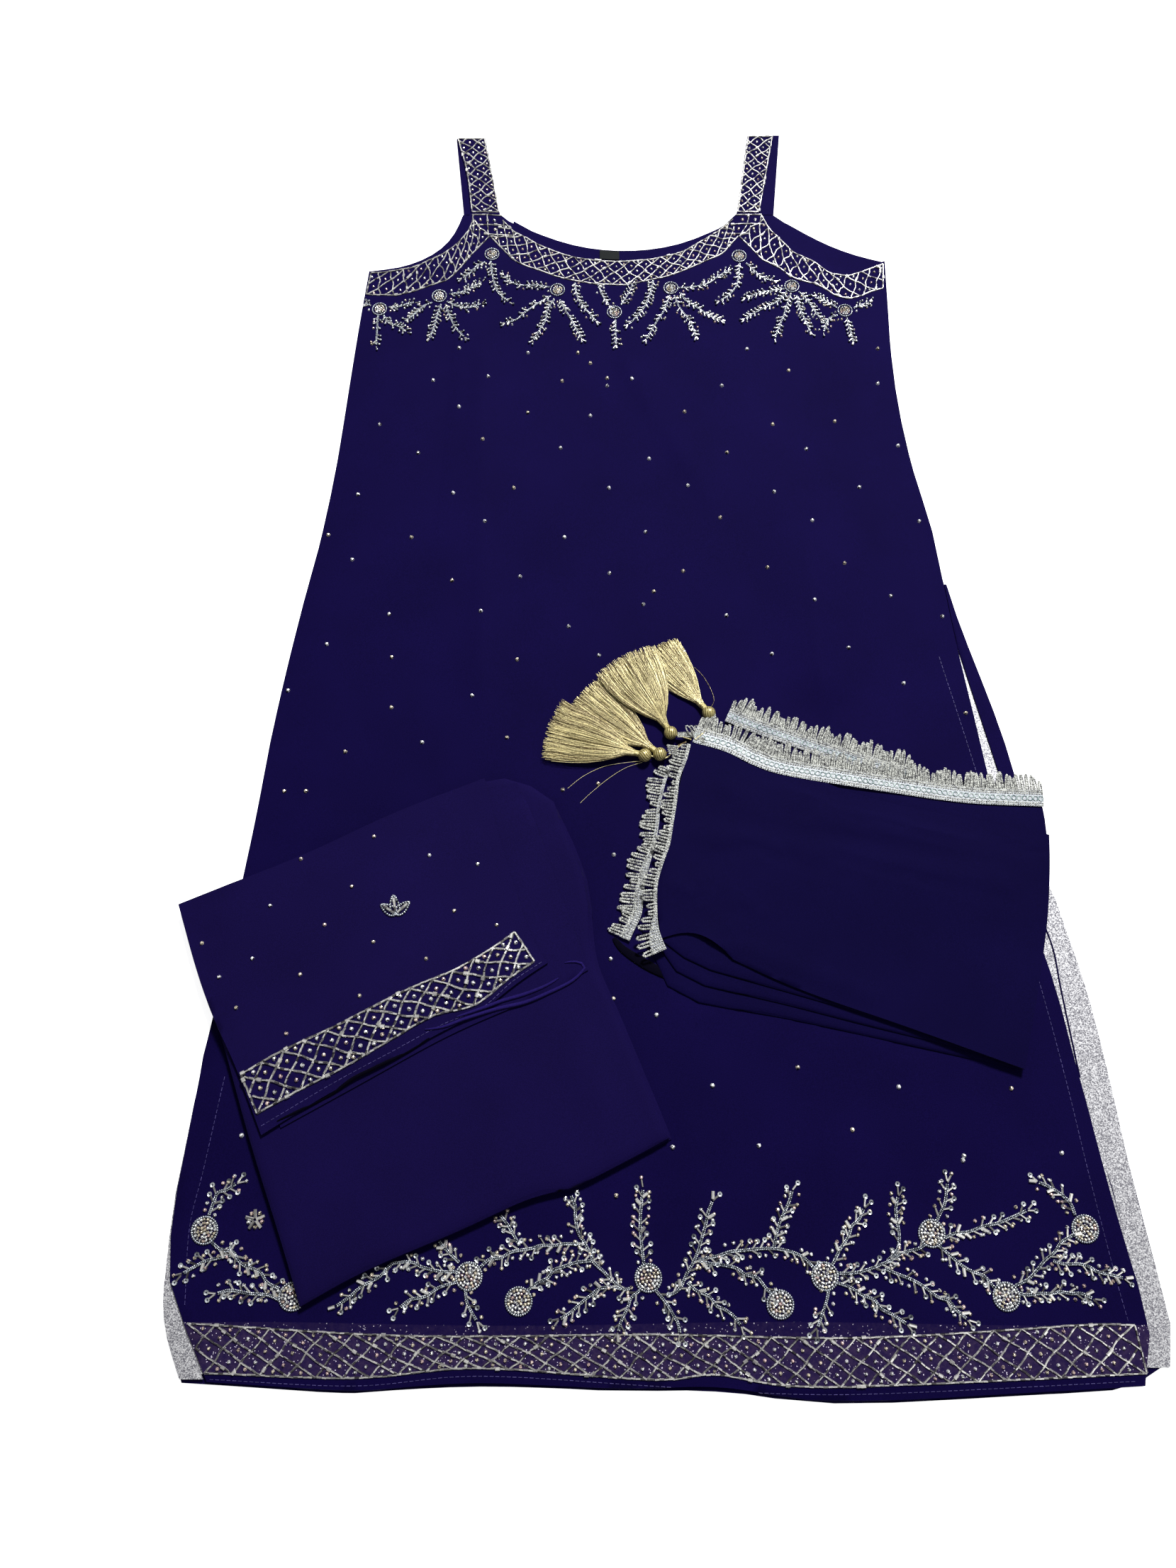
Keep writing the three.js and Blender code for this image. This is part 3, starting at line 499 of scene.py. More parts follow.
# node, material, slot, cuts across each edge, rounds of smoothing, and small waves of the cloth
clothRows = [
    ("kurta_back", kurtaMaterial, "kurta_cloth", 1, 2, None),
    ("kurta_front", kurtaFrontMaterial, "kurta_cloth", 3, 6, frontRelief),
    ("strap_back_left", kurtaMaterial, "kurta_cloth", 2, 0, None),
    ("strap_back_right", kurtaMaterial, "kurta_cloth", 2, 0, None),
    ("strap_front_left", kurtaMaterial, "kurta_cloth", 2, 0, None),
    ("strap_front_right", kurtaMaterial, "kurta_cloth", 2, 0, None),
    ("back_neck_facing", kurtaMaterial, "kurta_cloth", 1, 0, None),
    ("neck_label", labelMaterial, "label", 1, 0, None),
    ("back_facing_left", lurexMaterial, "silver_facing", 2, 0, None),
    ("back_facing_right", lurexMaterial, "silver_facing", 2, 0, None),
    ("front_facing_left", lurexMaterial, "silver_facing", 2, 0, None),
    ("front_facing_right", lurexMaterial, "silver_facing", 2, 0, None),
    ("front_hem_facing", lurexMaterial, "silver_facing", 1, 0, None),
    ("palazzo_stack", palazzoMaterial, "palazzo_cloth", 2, 3, None),
    ("palazzo_leg_under", palazzoMaterial, "palazzo_cloth", 3, 6, None),
    ("palazzo_leg_top", palazzoMaterial, "palazzo_cloth", 3, 6, palazzoRelief),
    ("dupatta_stack", dupattaMaterial, "dupatta_cloth", 2, 7, None),
    ("dupatta_top", dupattaMaterial, "dupatta_cloth", 3, 6, dupattaRelief),
]
pieces = {}
for node, material, slot, cuts, rounds, relief in clothRows:
    pieces[node] = clothPiece(node, material, slot, cuts, rounds, relief)
    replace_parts(pieces[node], node)


def widen(piece, outward):
    # the facing's outer edge runs out to the edge of the cloth it is sewn under
    verts = piece.data.vertices
    rows = {}
    for vert in verts:
        rows.setdefault(round(vert.co.y / (6 * mm)), []).append(vert)
    for row in rows.values():
        low, high = min(v.co.x for v in row), max(v.co.x for v in row)
        for vert in row:
            share = (vert.co.x - low) / max(high - low, mm)
            vert.co.x += outward * mm * (share if outward > 0 else 1 - share)


widen(pieces["back_facing_right"], 1.0)

# The left strap's front half covers its back half at the top
strapTurn = {"from": 496, "to": 546, "left": -162, "right": -142, "reach": 4.6}
for vert in pieces["strap_front_left"].data.vertices:
    x, y = onPlan(vert)
    side = 1 - ease(strapTurn["left"], strapTurn["right"], x)
    vert.co.x -= strapTurn["reach"] * mm * side * ease(strapTurn["from"], strapTurn["to"], y)

# The back's cloth ends with the silver facing beyond the front's lower right corner
backCorner = {"x": 337, "y": -527.5}
for vert in pieces["kurta_back"].data.vertices:
    if onPlan(vert)[0] > backCorner["x"]:
        vert.co.y = max(vert.co.y, backCorner["y"] * mm + shift.y)

# Flat sizes of the cloth that shows, width by length in metres, with the area of a cut that isn't square
flatSizes = {
    "kurta_back": {"flat": (0.70, 1.01), "area": 0.565, "held": "laid", "on": []},
    "kurta_front": {"flat": (0.69, 1.01), "area": 0.545, "held": "laid", "on": ["kurta_back"]},
    "strap_back_left": {"flat": (0.028, 0.092), "held": "laid", "on": []},
    "strap_back_right": {"flat": (0.030, 0.096), "held": "laid", "on": []},
    "strap_front_left": {"flat": (0.025, 0.091), "held": "laid", "on": ["strap_back_left"]},
    "strap_front_right": {"flat": (0.024, 0.094), "held": "laid", "on": ["strap_back_right"]},
    "back_neck_facing": {"flat": (0.202, 0.012), "held": "laid", "on": ["kurta_back"]},
    "back_facing_left": {"flat": (0.022, 0.198), "held": "laid", "on": ["kurta_back"]},
    "back_facing_right": {"flat": (0.034, 0.55), "held": "laid", "on": ["kurta_back"]},
    "front_facing_left": {"flat": (0.015, 0.064), "area": 0.0006, "held": "folded", "on": ["kurta_back"]},
    "front_facing_right": {"flat": (0.0145, 0.17), "held": "laid", "on": ["kurta_back"]},
    "front_hem_facing": {"flat": (0.60, 0.036), "held": "laid", "on": ["kurta_back"]},
    "palazzo_stack": {"flat": (0.31, 0.32), "area": 0.09, "held": "folded", "on": ["kurta_front"]},
    "palazzo_leg_under": {"flat": (0.235, 0.19), "held": "folded", "on": ["palazzo_stack"]},
    "palazzo_leg_top": {"flat": (0.245, 0.185), "held": "folded", "on": ["palazzo_leg_under"]},
    "dupatta_stack": {"flat": (0.29, 0.22), "held": "folded", "on": ["kurta_front"]},
    "dupatta_top": {"flat": (0.285, 0.19), "held": "folded", "on": ["dupatta_stack"]},
}

# The front's own marks for its sheer hem, in millimetres above the band's foot and below the facing's top
hemFoot = SmoothLine(
    [(-345, -530), (-303, -532), (-201, -535), (-117, -529), (0, -536), (45, -533), (97, -540),
     (180, -539), (335, -532), (360, -531)]
)
hemTop = SmoothLine(
    [(-345, -499), (-317, -500), (-163, -509), (0, -508), (99, -510), (180, -509), (299, -501),
     (335, -501), (360, -501)]
)
facingTop = {"y": -501.5, "wave": 1.2, "length": 60}


def lineHeight(line, x):
    return float(np.interp(x, line.run[:, 0], line.run[:, 1]))


front = pieces["kurta_front"].data
marks = {"hemDepth": [], "facingTop": [], "bandTop": []}
for vert in front.vertices:
    x, y = onPlan(vert)
    marks["hemDepth"].append(y - lineHeight(hemFoot, x))
    marks["facingTop"].append(facingTop["y"] + facingTop["wave"] * math.sin(x / facingTop["length"]) - y)
    marks["bandTop"].append(lineHeight(hemTop, x) - y)
for name, values in marks.items():
    front.attributes.new(name, "FLOAT", "POINT").data.foreach_set("value", values)


# Beads: one small template of each kind, and joined meshes of their copies

def beadTemplates():
    made = {}
    seed = bmesh.new()
    bmesh.ops.create_icosphere(seed, subdivisions=1, radius=0.5)
    made["seed"] = seed
    bugle = bmesh.new()
    bmesh.ops.create_cone(bugle, cap_ends=True, segments=6, radius1=0.5, radius2=0.5, depth=1)
    bmesh.ops.rotate(bugle, verts=bugle.verts, matrix=Matrix.Rotation(math.pi / 2, 3, "Y"))
    made["bugle"] = bugle
    stone = bmesh.new()
    bmesh.ops.create_cone(stone, cap_ends=True, segments=8, radius1=0.5, radius2=0.3, depth=1)
    table = max(stone.faces, key=lambda face: face.calc_center_median().z)
    bmesh.ops.poke(stone, faces=[table], offset=0.18)
    made["stone"] = stone
    sequin = bmesh.new()
    corners = [(0.15, 0, -0.5), (0.5, 0, -0.2), (0.46, 0, 0.5), (0.17, 0, 0.1)]
    ring = [sequin.verts.new(corner) for corner in corners]
    edges = [sequin.edges.new((ring[k], ring[(k + 1) % 4])) for k in range(4)]
    bmesh.ops.spin(
        sequin, geom=ring + edges, cent=(0, 0, 0), axis=(0, 0, 1),
        angle=2 * math.pi, steps=8, use_merge=True,
    )
    bmesh.ops.recalc_face_normals(sequin, faces=sequin.faces)
    made["sequin"] = sequin
    return made


templates = beadTemplates()
glitter = np.random.default_rng(5)


def joinedCopies(name, template, matrices, tints, material, slot, smooth=False):
    template.verts.index_update()
    points = np.array([v.co for v in template.verts])
    corners = [[v.index for v in face.verts] for face in template.faces]
    sizes = np.array([len(c) for c in corners])
    loops = np.concatenate(corners)
    count = len(matrices)
    turned = np.array([np.array(m) for m in matrices])
    placed = np.einsum("kij,nj->kni", turned[:, :3, :3], points) + turned[:, None, :3, 3]
    mesh = bpy.data.meshes.new(name)
    mesh.vertices.add(count * len(points))
    mesh.vertices.foreach_set("co", placed.astype(np.float32).ravel())
    mesh.loops.add(count * len(loops))
    allLoops = loops[None, :] + (np.arange(count) * len(points))[:, None]
    mesh.loops.foreach_set("vertex_index", allLoops.astype(np.int32).ravel())
    mesh.polygons.add(count * len(sizes))
    starts = np.cumsum(np.concatenate([[0], np.tile(sizes, count)]))[:-1]
    mesh.polygons.foreach_set("loop_start", starts.astype(np.int32))
    mesh.polygons.foreach_set("use_smooth", [smooth] * (count * len(sizes)))
    mesh.update(calc_edges=True)
    mesh.validate()
    tint = mesh.attributes.new("tint", "FLOAT", "POINT")
    tint.data.foreach_set("value", np.repeat(np.array(tints, np.float32), len(points)))
    # a random share for each face, which sets each face's painted glint
    facet = mesh.attributes.new("facet", "FLOAT", "FACE")
    facet.data.foreach_set("value", glitter.random(len(mesh.polygons)).astype(np.float32))
    return place(mesh, name, material, slot)


class Beadwork:
    # beads laid on one cloth; what another cloth covers is left out
    def __init__(self, name, cloth, hiddenBy=None):
        self.name = name
        self.surface = surfaceOf(cloth)
        self.hiddenBy = hiddenBy
        self.beads = {}

    def spot(self, x, y):
        start = inSpace(x, y, lookFrom)
        point, normal, _, _ = self.surface.ray_cast(start, down)
        if point is None or normal.z < 0.3:
            return None, None
        reach = lookFrom * mm - point.z - 0.5 * mm
        if self.hiddenBy and self.hiddenBy.ray_cast(start, down, reach)[0] is not None:
            return None, None
        return point, normal

    def lay(self, kind, x, y, heading, size, lift=0.45, tint=None):
        # lift is the share of the height that the bead's middle stands above the cloth
        point, normal = self.spot(x, y)
        if point is None:
            return False
        ahead = Vector((math.cos(heading), math.sin(heading), 0))
        ahead = (ahead - normal * ahead.dot(normal)).normalized()
        aside = normal.cross(ahead)
        turn = Matrix((ahead, aside, normal)).transposed().to_4x4()
        grow = Matrix.Diagonal((size[0] * mm, size[1] * mm, size[2] * mm, 1))
        matrix = Matrix.Translation(point + normal * size[2] * lift * mm) @ turn @ grow
        shade = dice.random() if tint is None else tint
        self.beads.setdefault(kind, []).append((matrix, shade))
        return True

    def string(self, kind, line, pitch, size, wobble):
        # stitches one after another along a line
        count = max(1, round(line.length / pitch))
        for k in range(count):
            distance = (k + 0.5) * line.length / count
            x, y = line.at(distance)
            x += dice.uniform(-wobble, wobble)
            y += dice.uniform(-wobble, wobble)
            self.lay(kind, x, y, line.heading(distance), size)

    def make(self, looks, slot):
        made = []
        for kind, beads in self.beads.items():
            matrices = [matrix for matrix, _ in beads]
            tints = [tint for _, tint in beads]
            name = f"{self.name}_{kind}s"
            smooth = kind == "seed"
            made.append(joinedCopies(name, templates[kind], matrices, tints, looks[kind], slot, smooth))
        return made


def glintMaterial(name, metallic, tintShare, span, dark, light, rough=0.42, gloss=0.2):
    # each side of a bead or knot throws back its own share of the light, painted into its colour as a
    # painted glint; the tint is the bead's own tone
    def build(wire):
        share = tintShare * wire.attribute("tint") + (1 - tintShare) * wire.attribute("facet")
        colour = share.between(*span).blend(srgb(*dark), srgb(*light))
        return {"Base Color": colour, "Roughness": rough - gloss * share}
    return newMaterial(name, build, Metallic=metallic)


def cutStone(wire):
    tint = wire.attribute("tint")
    facet = wire.attribute("facet")
    warm = tint.between(0.05, 0.4).blend(srgb(234, 204, 198), srgb(232, 222, 196))
    # painted glints: stones with a high tint go near white, and each facet goes dark or light, over the
    # stones' own warm tone
    bright = (tint > 0.55).blend(warm, srgb(250, 252, 250))
    return {
        "Base Color": facet.between(0.15, 0.65).blend(srgb(66, 60, 66), bright),
        "Roughness": 0.12 + 0.2 * facet,
    }


beadLooks = {
    "seed": glintMaterial("silverBead", 0.85, 0.45, (0.1, 1.0), (54, 60, 72), (216, 222, 228)),
    "bugle": glintMaterial("silverBugle", 0.75, 0.4, (0.15, 0.92), (64, 61, 65), (250, 249, 244)),
    "stone": newMaterial("cutStone", cutStone, Metallic=0.6),
    "sequin": glintMaterial("sequinFoil", 0.6, 0.6, (0.1, 0.95), (84, 88, 94), (222, 228, 232), 0.35, 0.15),
}


# Lattice bands of short tube beads with a stone in each diamond

lattice = {"bead": (3.1, 1.5, 1.35), "pitch": 3.2, "stone": (3.0, 3.0, 1.5), "sway": 1.1, "wobble": 0.15}
thickness = {"neck": 0.82, "hem": 0.9, "leg": 1.15}  # of each band's beads against the lattice's own


def tubeString(work, line, thick):
    # short tubes end to end, a few of them wide and bright, their top tint standing for painted glints
    count = max(1, round(line.length / lattice["pitch"]))
    for k in range(count):
        distance = (k + 0.5) * line.length / count
        x, y = line.at(distance)
        grown = thick * (1.0 if dice.random() > 0.05 else 1.8)
        long, wide, high = lattice["bead"]
        x += dice.uniform(-lattice["wobble"], lattice["wobble"])
        y += dice.uniform(-lattice["wobble"], lattice["wobble"])
        tint = dice.random() if grown == thick else 1.0
        heading = line.heading(distance) + dice.uniform(-0.08, 0.08)
        work.lay("bugle", x, y, heading, (long, wide * grown, high * grown), tint=tint)


def latticeBand(work, top, foot, first, second, thick, ends=(True, True)):
    # first and second: the two families of lines, with their gap and their lean over the band's height
    topLine, footLine = SmoothLine(top), SmoothLine(foot)
    length = (topLine.length + footLine.length) / 2

    def spot(along, across):
        share = min(1.0, max(0.0, along / length))
        return (footLine.share(share) * (1 - across) + topLine.share(share) * across).tolist()

    for line in (topLine, footLine):
        tubeString(work, line, thick)
    for gap, lean in (first, second):
        over = math.ceil(abs(lean) / gap) + 1
        for k in range(-over, math.ceil(length / gap) + over):
            run = []
            for step in range(13):
                across = step / 12
                along = k * gap + lean * across
                if -0.01 <= along <= length + 0.01:
                    sway = lattice["sway"] * math.sin(across * math.pi * 3 + k * 1.7)
                    run.append(spot(along + sway * math.sin(math.pi * across), across))
            if len(run) > 2:
                tubeString(work, SmoothLine(run), thick)
    for end, along in zip(ends, (0, length)):
        if end:
            tubeString(work, SmoothLine([spot(along, t / 4) for t in range(5)]), thick)
    (gapA, leanA), (gapB, leanB) = first, second
    reach = math.ceil((length + abs(leanA) + abs(leanB)) / min(gapA, gapB)) + 2
    for i in range(-reach, reach):
        for j in range(-reach, reach):
            across = ((i + 0.5) * gapA - (j + 0.5) * gapB) / (leanB - leanA)
            along = (i + 0.5) * gapA + leanA * across
            if -0.1 < across < 1.1 and 1.5 < along < length - 1.5:
                across = min(max(across, 0.1), 0.9) + dice.uniform(-0.02, 0.02)
                x, y = spot(along + dice.uniform(-0.8, 0.8), across)
                size = tuple(side * thick for side in lattice["stone"])
                work.lay("stone", x, y, dice.uniform(0, 3), size)


# Rosettes, stems with twigs

def rosette(work, x, y, radius, stone, ringSeed=(1.8, 2.0, 1.7)):
    count = round(2 * math.pi * radius / 1.55)
    for k in range(count):
        angle = 2 * math.pi * k / count
        px, py = around(x, y, radius, angle)
        work.lay("seed", px, py, angle + math.pi / 2, ringSeed, tint=dice.uniform(0.5, 1))
    work.lay("stone", x, y, 0, (stone, stone, stone * 0.5))
    ring = stone
    while ring + stone * 0.4 < radius:
        count = int(2 * math.pi * ring / (stone * 0.95))
        turn = dice.uniform(0, 1)
        for k in range(count):
            angle = 2 * math.pi * k / count + turn
            px, py = around(x, y, ring, angle)
            px += dice.uniform(-0.15, 0.15)
            py += dice.uniform(-0.15, 0.15)
            size = (stone * 1.05, stone * 1.05, stone * 0.6)
            work.lay("stone", px, py, angle, size, tint=dice.random() ** 0.6)
        ring += stone * 0.95


vineTwig = {
    "seed": (2.0, 1.3, 1.5), "pitch": 1.3, "pair": 0.62, "every": 6.2,
    "angle": 0.85, "bugle": (5.2, 1.45, 1.35),
    "end": "sequin", "endSize": (3.7, 3.7, 0.9), "stone": (2.9, 2.9, 1.5), "stones": 0.85, "off": 4.8,
}
sprayTwig = {
    "seed": (1.7, 1.1, 1.2), "pitch": 1.2, "pair": 0.4, "every": 4.3,
    "angle": 0.85, "bugle": (3.0, 1.15, 1.1),
    "end": "seed", "endSize": (2.5, 2.3, 1.7), "stone": (2.3, 2.3, 1.2), "stones": 0.45, "off": 4.4,
}
chance = {"skip": 0.12, "bugle": 0.9, "thin": 0.88, "sequin": 0.6}  # of a twig's parts


def rope(work, line, twig):
    # two rows of slanted seed beads, side by side
    count = max(2, round(line.length / twig["pitch"]))
    for k in range(count):
        distance = (k + 0.5) * line.length / count
        x, y = line.at(distance)
        heading = line.heading(distance)
        for side in (1, -1):
            px = x - side * twig["pair"] * math.sin(heading)
            py = y + side * twig["pair"] * math.cos(heading)
            work.lay("seed", px, py, heading + side * 0.55, twig["seed"])


def stem(work, points, twig):
    line = SmoothLine(points)
    rope(work, line, twig)
    count = max(2, round(line.length / twig["every"]))
    for k in range(count + 1):
        distance = line.length * (k + 0.35) / (count + 0.35)
        distance = min(line.length, distance)
        x, y = line.at(distance)
        heading = line.heading(distance)
        last = k == count
        for side in (1, -1):
            if not last and dice.random() < chance["skip"]:
                continue
            lean = twig["angle"] * dice.uniform(0.75, 1.2) * (0.45 if last else 1)
            angle = heading + side * lean
            long = twig["bugle"][0] * dice.uniform(0.85, 1.1)
            startX, startY = around(x, y, 0.9 + side * 0.4, heading)
            if dice.random() < chance["bugle"]:
                middle = around(startX, startY, 0.7 + long / 2, angle)
                thick = 1.0 if dice.random() < chance["thin"] else 1.7
                size = (long, twig["bugle"][1] * thick, twig["bugle"][2] * thick)
                # the thick bugles take the top tint, standing for painted glints
                tint = dice.random() if thick == 1 else 1.0
                if work.lay("bugle", *middle, angle, size, tint=tint) and thick == 1:
                    tip = 0.7 + long + twig["endSize"][0] * 0.35
                    end = around(startX, startY, tip, angle)
                    if twig["end"] == "seed" or dice.random() < chance["sequin"]:
                        work.lay(twig["end"], *end, angle, twig["endSize"], lift=0.8)
                    else:
                        work.lay("stone", *end, angle, twig["stone"])
            if dice.random() < twig["stones"]:
                gap = heading + side * dice.uniform(1.2, 1.9)
                far = twig["off"] * dice.uniform(0.75, 1.15)
                work.lay("stone", *around(x, y, far, gap), angle, twig["stone"])


# Kurta: where the bands, rosettes and stems lie

neckBands = [
    {
        "top": [(-122, 446), (-111, 433), (-98, 425), (-86, 417), (-62, 406), (-46, 402), (-20, 399),
                (0, 400), (19, 402), (43, 409), (55, 416), (76, 431), (84, 438), (94, 448)],
        "foot": [(-133, 427), (-118, 408), (-108, 398), (-99, 393), (-86, 388), (-70, 381), (-51, 376),
                 (-33, 373), (-12, 372), (-3, 373), (16, 378), (29, 381), (50, 390), (69, 400),
                 (82, 407), (91, 418), (98, 427)],
        "first": (14, 27), "second": (14, -27), "ends": (False, False),
    },
    {
        "top": [(-242, 386), (-229, 387), (-214, 390), (-200, 394), (-190, 400), (-179, 406),
                (-170, 413), (-163, 420), (-155, 432), (-151, 442), (-150, 453)],
        "foot": [(-245, 362), (-235, 361), (-216, 361), (-200, 366), (-182, 373), (-171, 378),
                 (-162, 388), (-152, 403), (-144, 414), (-134, 427)],
        "first": (12, -5), "second": (16, 32), "ends": (True, False),
    },
    {
        "top": [(121, 452), (128, 436), (135, 427), (141, 419), (149, 409), (158, 404), (168, 398),
                (174, 392), (181, 386), (189, 384), (198, 383), (210, 387), (219, 391), (231, 396)],
        "foot": [(99, 427), (107, 417), (113, 409), (120, 400), (130, 394), (138, 388), (145, 381),
                 (157, 376), (167, 373), (176, 367), (185, 360), (197, 357), (208, 360), (218, 365),
                 (229, 369)],
        "first": (12, 5), "second": (16, -32), "ends": (False, True),
    },
]

# the squares where the bands meet below each strap
cornerLines = [
    [(-151, 453), (-137, 453), (-123, 452)], [(-150, 441), (-136, 441), (-120, 440)],
    [(-139, 430), (-130, 429), (-112, 428)], [(-137, 453), (-136, 441), (-135, 428)],
    [(97, 453), (109, 453), (121, 453)], [(92, 441), (109, 442), (126, 441)],
    [(86, 431), (98, 430), (108, 430)], [(109, 453), (107, 441), (100, 428)],
]
cornerStones = [(-143, 447), (-130, 446), (-143, 436), (-129, 435), (103, 447), (115, 447), (99, 436),
                (113, 436)]

neckRosettes = [
    (-131, 406), (-178, 359), (-232, 345), (-70, 366), (-18, 341), (98, 404), (34, 368), (145, 370),
    (192, 343)
]

neckSprays = [
    [(-233, 338), (-233, 327), (-233, 316), (-233, 306)],
    [(-228, 338), (-222, 329), (-214, 326), (-207, 320)],
    [(-224, 347), (-216, 347), (-208, 350), (-201, 352)],
    [(-240, 349), (-246, 352)],
    [(-184, 352), (-192, 348), (-198, 341), (-208, 331)],
    [(-176, 350), (-179, 338), (-181, 327), (-185, 313)],
    [(-172, 350), (-168, 338), (-162, 324), (-154, 314)],
    [(-171, 353), (-160, 347), (-150, 346), (-140, 350)],
    [(-169, 361), (-158, 363), (-148, 369), (-140, 374)],
    [(-137, 397), (-145, 392), (-151, 384), (-157, 379)],
    [(-132, 398), (-130, 382), (-125, 364), (-115, 353)],
    [(-77, 369), (-89, 371), (-104, 371), (-113, 375), (-119, 381)],
    [(-76, 359), (-86, 352), (-98, 342), (-107, 333), (-116, 329)],
    [(-73, 355), (-79, 344), (-81, 331), (-87, 319), (-91, 311)],
    [(-68, 355), (-62, 342), (-55, 328), (-48, 313)],
    [(-54, 374), (-52, 359), (-46, 347), (-35, 332)],
    [(-33, 373), (-29, 360), (-23, 349)],
    [(-17, 333), (-17, 320), (-17, 306)],
    [(-12, 349), (-5, 362), (-1, 373)],
    [(18, 377), (15, 362), (10, 348), (3, 337), (-5, 328)],
    [(33, 360), (28, 345), (20, 330), (11, 312)],
    [(37, 360), (42, 345), (51, 330), (55, 315)],
    [(42, 363), (48, 353), (59, 345), (67, 338), (78, 332)],
    [(41, 368), (54, 369), (68, 373), (78, 381), (86, 387)],
    [(98, 396), (97, 384), (94, 370), (86, 359), (79, 354)],
    [(104, 396), (111, 388), (118, 380), (128, 376)],
    [(138, 367), (126, 365), (115, 362), (103, 357)],
    [(140, 364), (131, 353), (119, 346), (109, 340), (101, 334)],
    [(144, 361), (139, 348), (135, 335), (127, 313)],
    [(149, 360), (151, 345), (155, 332), (159, 319)],
    [(151, 364), (158, 355), (163, 345), (169, 334)],
    [(185, 346), (177, 352), (168, 358)],
    [(200, 346), (207, 349), (214, 353)],
    [(185, 338), (176, 333), (171, 319)],
    [(193, 335), (195, 322), (197, 309)],
]

vineRosettes = [
    (-312, -441), (-247, -484), (-125, -471), (-90, -487), (0, -472), (91, -489), (123, -471),
    (200, -443), (248, -484), (308, -440)
]

vineStems = [
    [(-310, -431), (-307, -421), (-305, -416), (-299, -414), (-293, -410)],
    [(-306, -449), (-299, -454), (-291, -455), (-284, -463), (-271, -468), (-265, -475), (-256, -479)],
    [(-291, -457), (-300, -459), (-309, -461), (-317, -465), (-324, -469)],
    [(-256, -486), (-264, -483), (-277, -482), (-290, -480), (-299, -482)],
    [(-134, -468), (-144, -468), (-158, -465), (-165, -462), (-179, -463), (-187, -471), (-200, -478),
     (-207, -484), (-216, -490)],
    [(-132, -462), (-139, -456), (-145, -450), (-149, -445)],
    [(-134, -475), (-145, -478), (-155, -484), (-165, -486), (-172, -491)],
    [(-127, -480), (-126, -487), (-123, -493), (-119, -499)],
    [(-84, -480), (-77, -475), (-70, -472), (-66, -467), (-60, -465), (-50, -462), (-40, -461)],
    [(-13, -479), (-18, -479), (-26, -473), (-31, -468), (-38, -462), (-40, -457), (-44, -450),
     (-49, -442), (-51, -432), (-51, -425), (-54, -418)],
    [(-45, -450), (-51, -450), (-59, -450), (-66, -451), (-75, -451), (-82, -453), (-95, -455),
     (-103, -459), (-111, -460), (-117, -465)],
    [(-90, -451), (-95, -443), (-99, -437), (-104, -431)],
    [(-19, -479), (-25, -478), (-34, -479), (-40, -483), (-48, -489), (-54, -494), (-61, -498)],
    [(-3, -463), (-4, -454), (-5, -443), (-5, -432), (-4, -422), (-3, -414)],
    [(-6, -480), (-12, -485), (-15, -492), (-19, -499), (-21, -506)],
    [(5, -480), (12, -488), (17, -496), (20, -501), (21, -507)],
    [(14, -483), (19, -481), (23, -477), (27, -469), (31, -463), (35, -455), (38, -446), (41, -437),
     (43, -429), (46, -422)],
    [(35, -460), (48, -458), (58, -455), (69, -454), (79, -453), (89, -453), (100, -455), (109, -459),
     (115, -465)],
    [(35, -461), (45, -463), (54, -464), (62, -466), (68, -470), (76, -472), (81, -478), (85, -482)],
    [(27, -475), (33, -480), (42, -484), (47, -490), (52, -492), (58, -496), (63, -502)],
    [(88, -453), (91, -442), (94, -434), (98, -427), (101, -421), (103, -415)],
    [(129, -463), (135, -453), (139, -448), (142, -443), (144, -438), (149, -434), (153, -427)],
    [(132, -469), (142, -469), (152, -467), (161, -464), (169, -461), (174, -458), (181, -455),
     (190, -453), (195, -450)],
    [(167, -461), (173, -456), (176, -451), (177, -442), (176, -434), (176, -426), (178, -419)],
    [(204, -435), (207, -430), (211, -423), (213, -415), (214, -410)],
    [(209, -446), (216, -443), (226, -442), (238, -438), (248, -436), (261, -431), (268, -428)],
    [(204, -451), (211, -457), (219, -464), (226, -468), (234, -471), (240, -478)],
    [(255, -477), (264, -473), (270, -468), (277, -461), (285, -455), (290, -449), (299, -444)],
    [(283, -461), (291, -463), (301, -463), (308, -465), (313, -468), (322, -470), (330, -472)],
    [(257, -482), (263, -483), (271, -482), (279, -482), (286, -481), (293, -482), (300, -482),
     (307, -485)],
    [(131, -475), (140, -478), (148, -483), (156, -486), (161, -492), (169, -496), (177, -501)],
    [(125, -480), (123, -487), (120, -494), (116, -503)],
    [(165, -466), (175, -470), (183, -473), (192, -478), (200, -484), (208, -487), (212, -492),
     (219, -498)],
    [(302, -431), (300, -424), (295, -418), (286, -412), (279, -409)],
]

smallStone = (3.2, 3.2, 1.6)
smallFlower = {"middle": (-277, -434), "petals": 5, "turn": 0.4, "step": 1.25, "petal": (6, 2.4, 2)}

strapBands = {
    "strap_front_left": {"top": [(-151, 457), (-157, 503), (-167, 545)], "foot": [(-126, 457),
                                                                                  (-142, 545)]},
    "strap_front_right": {"top": [(99, 457), (113, 548)], "foot": [(119, 457), (136, 548)]},
}

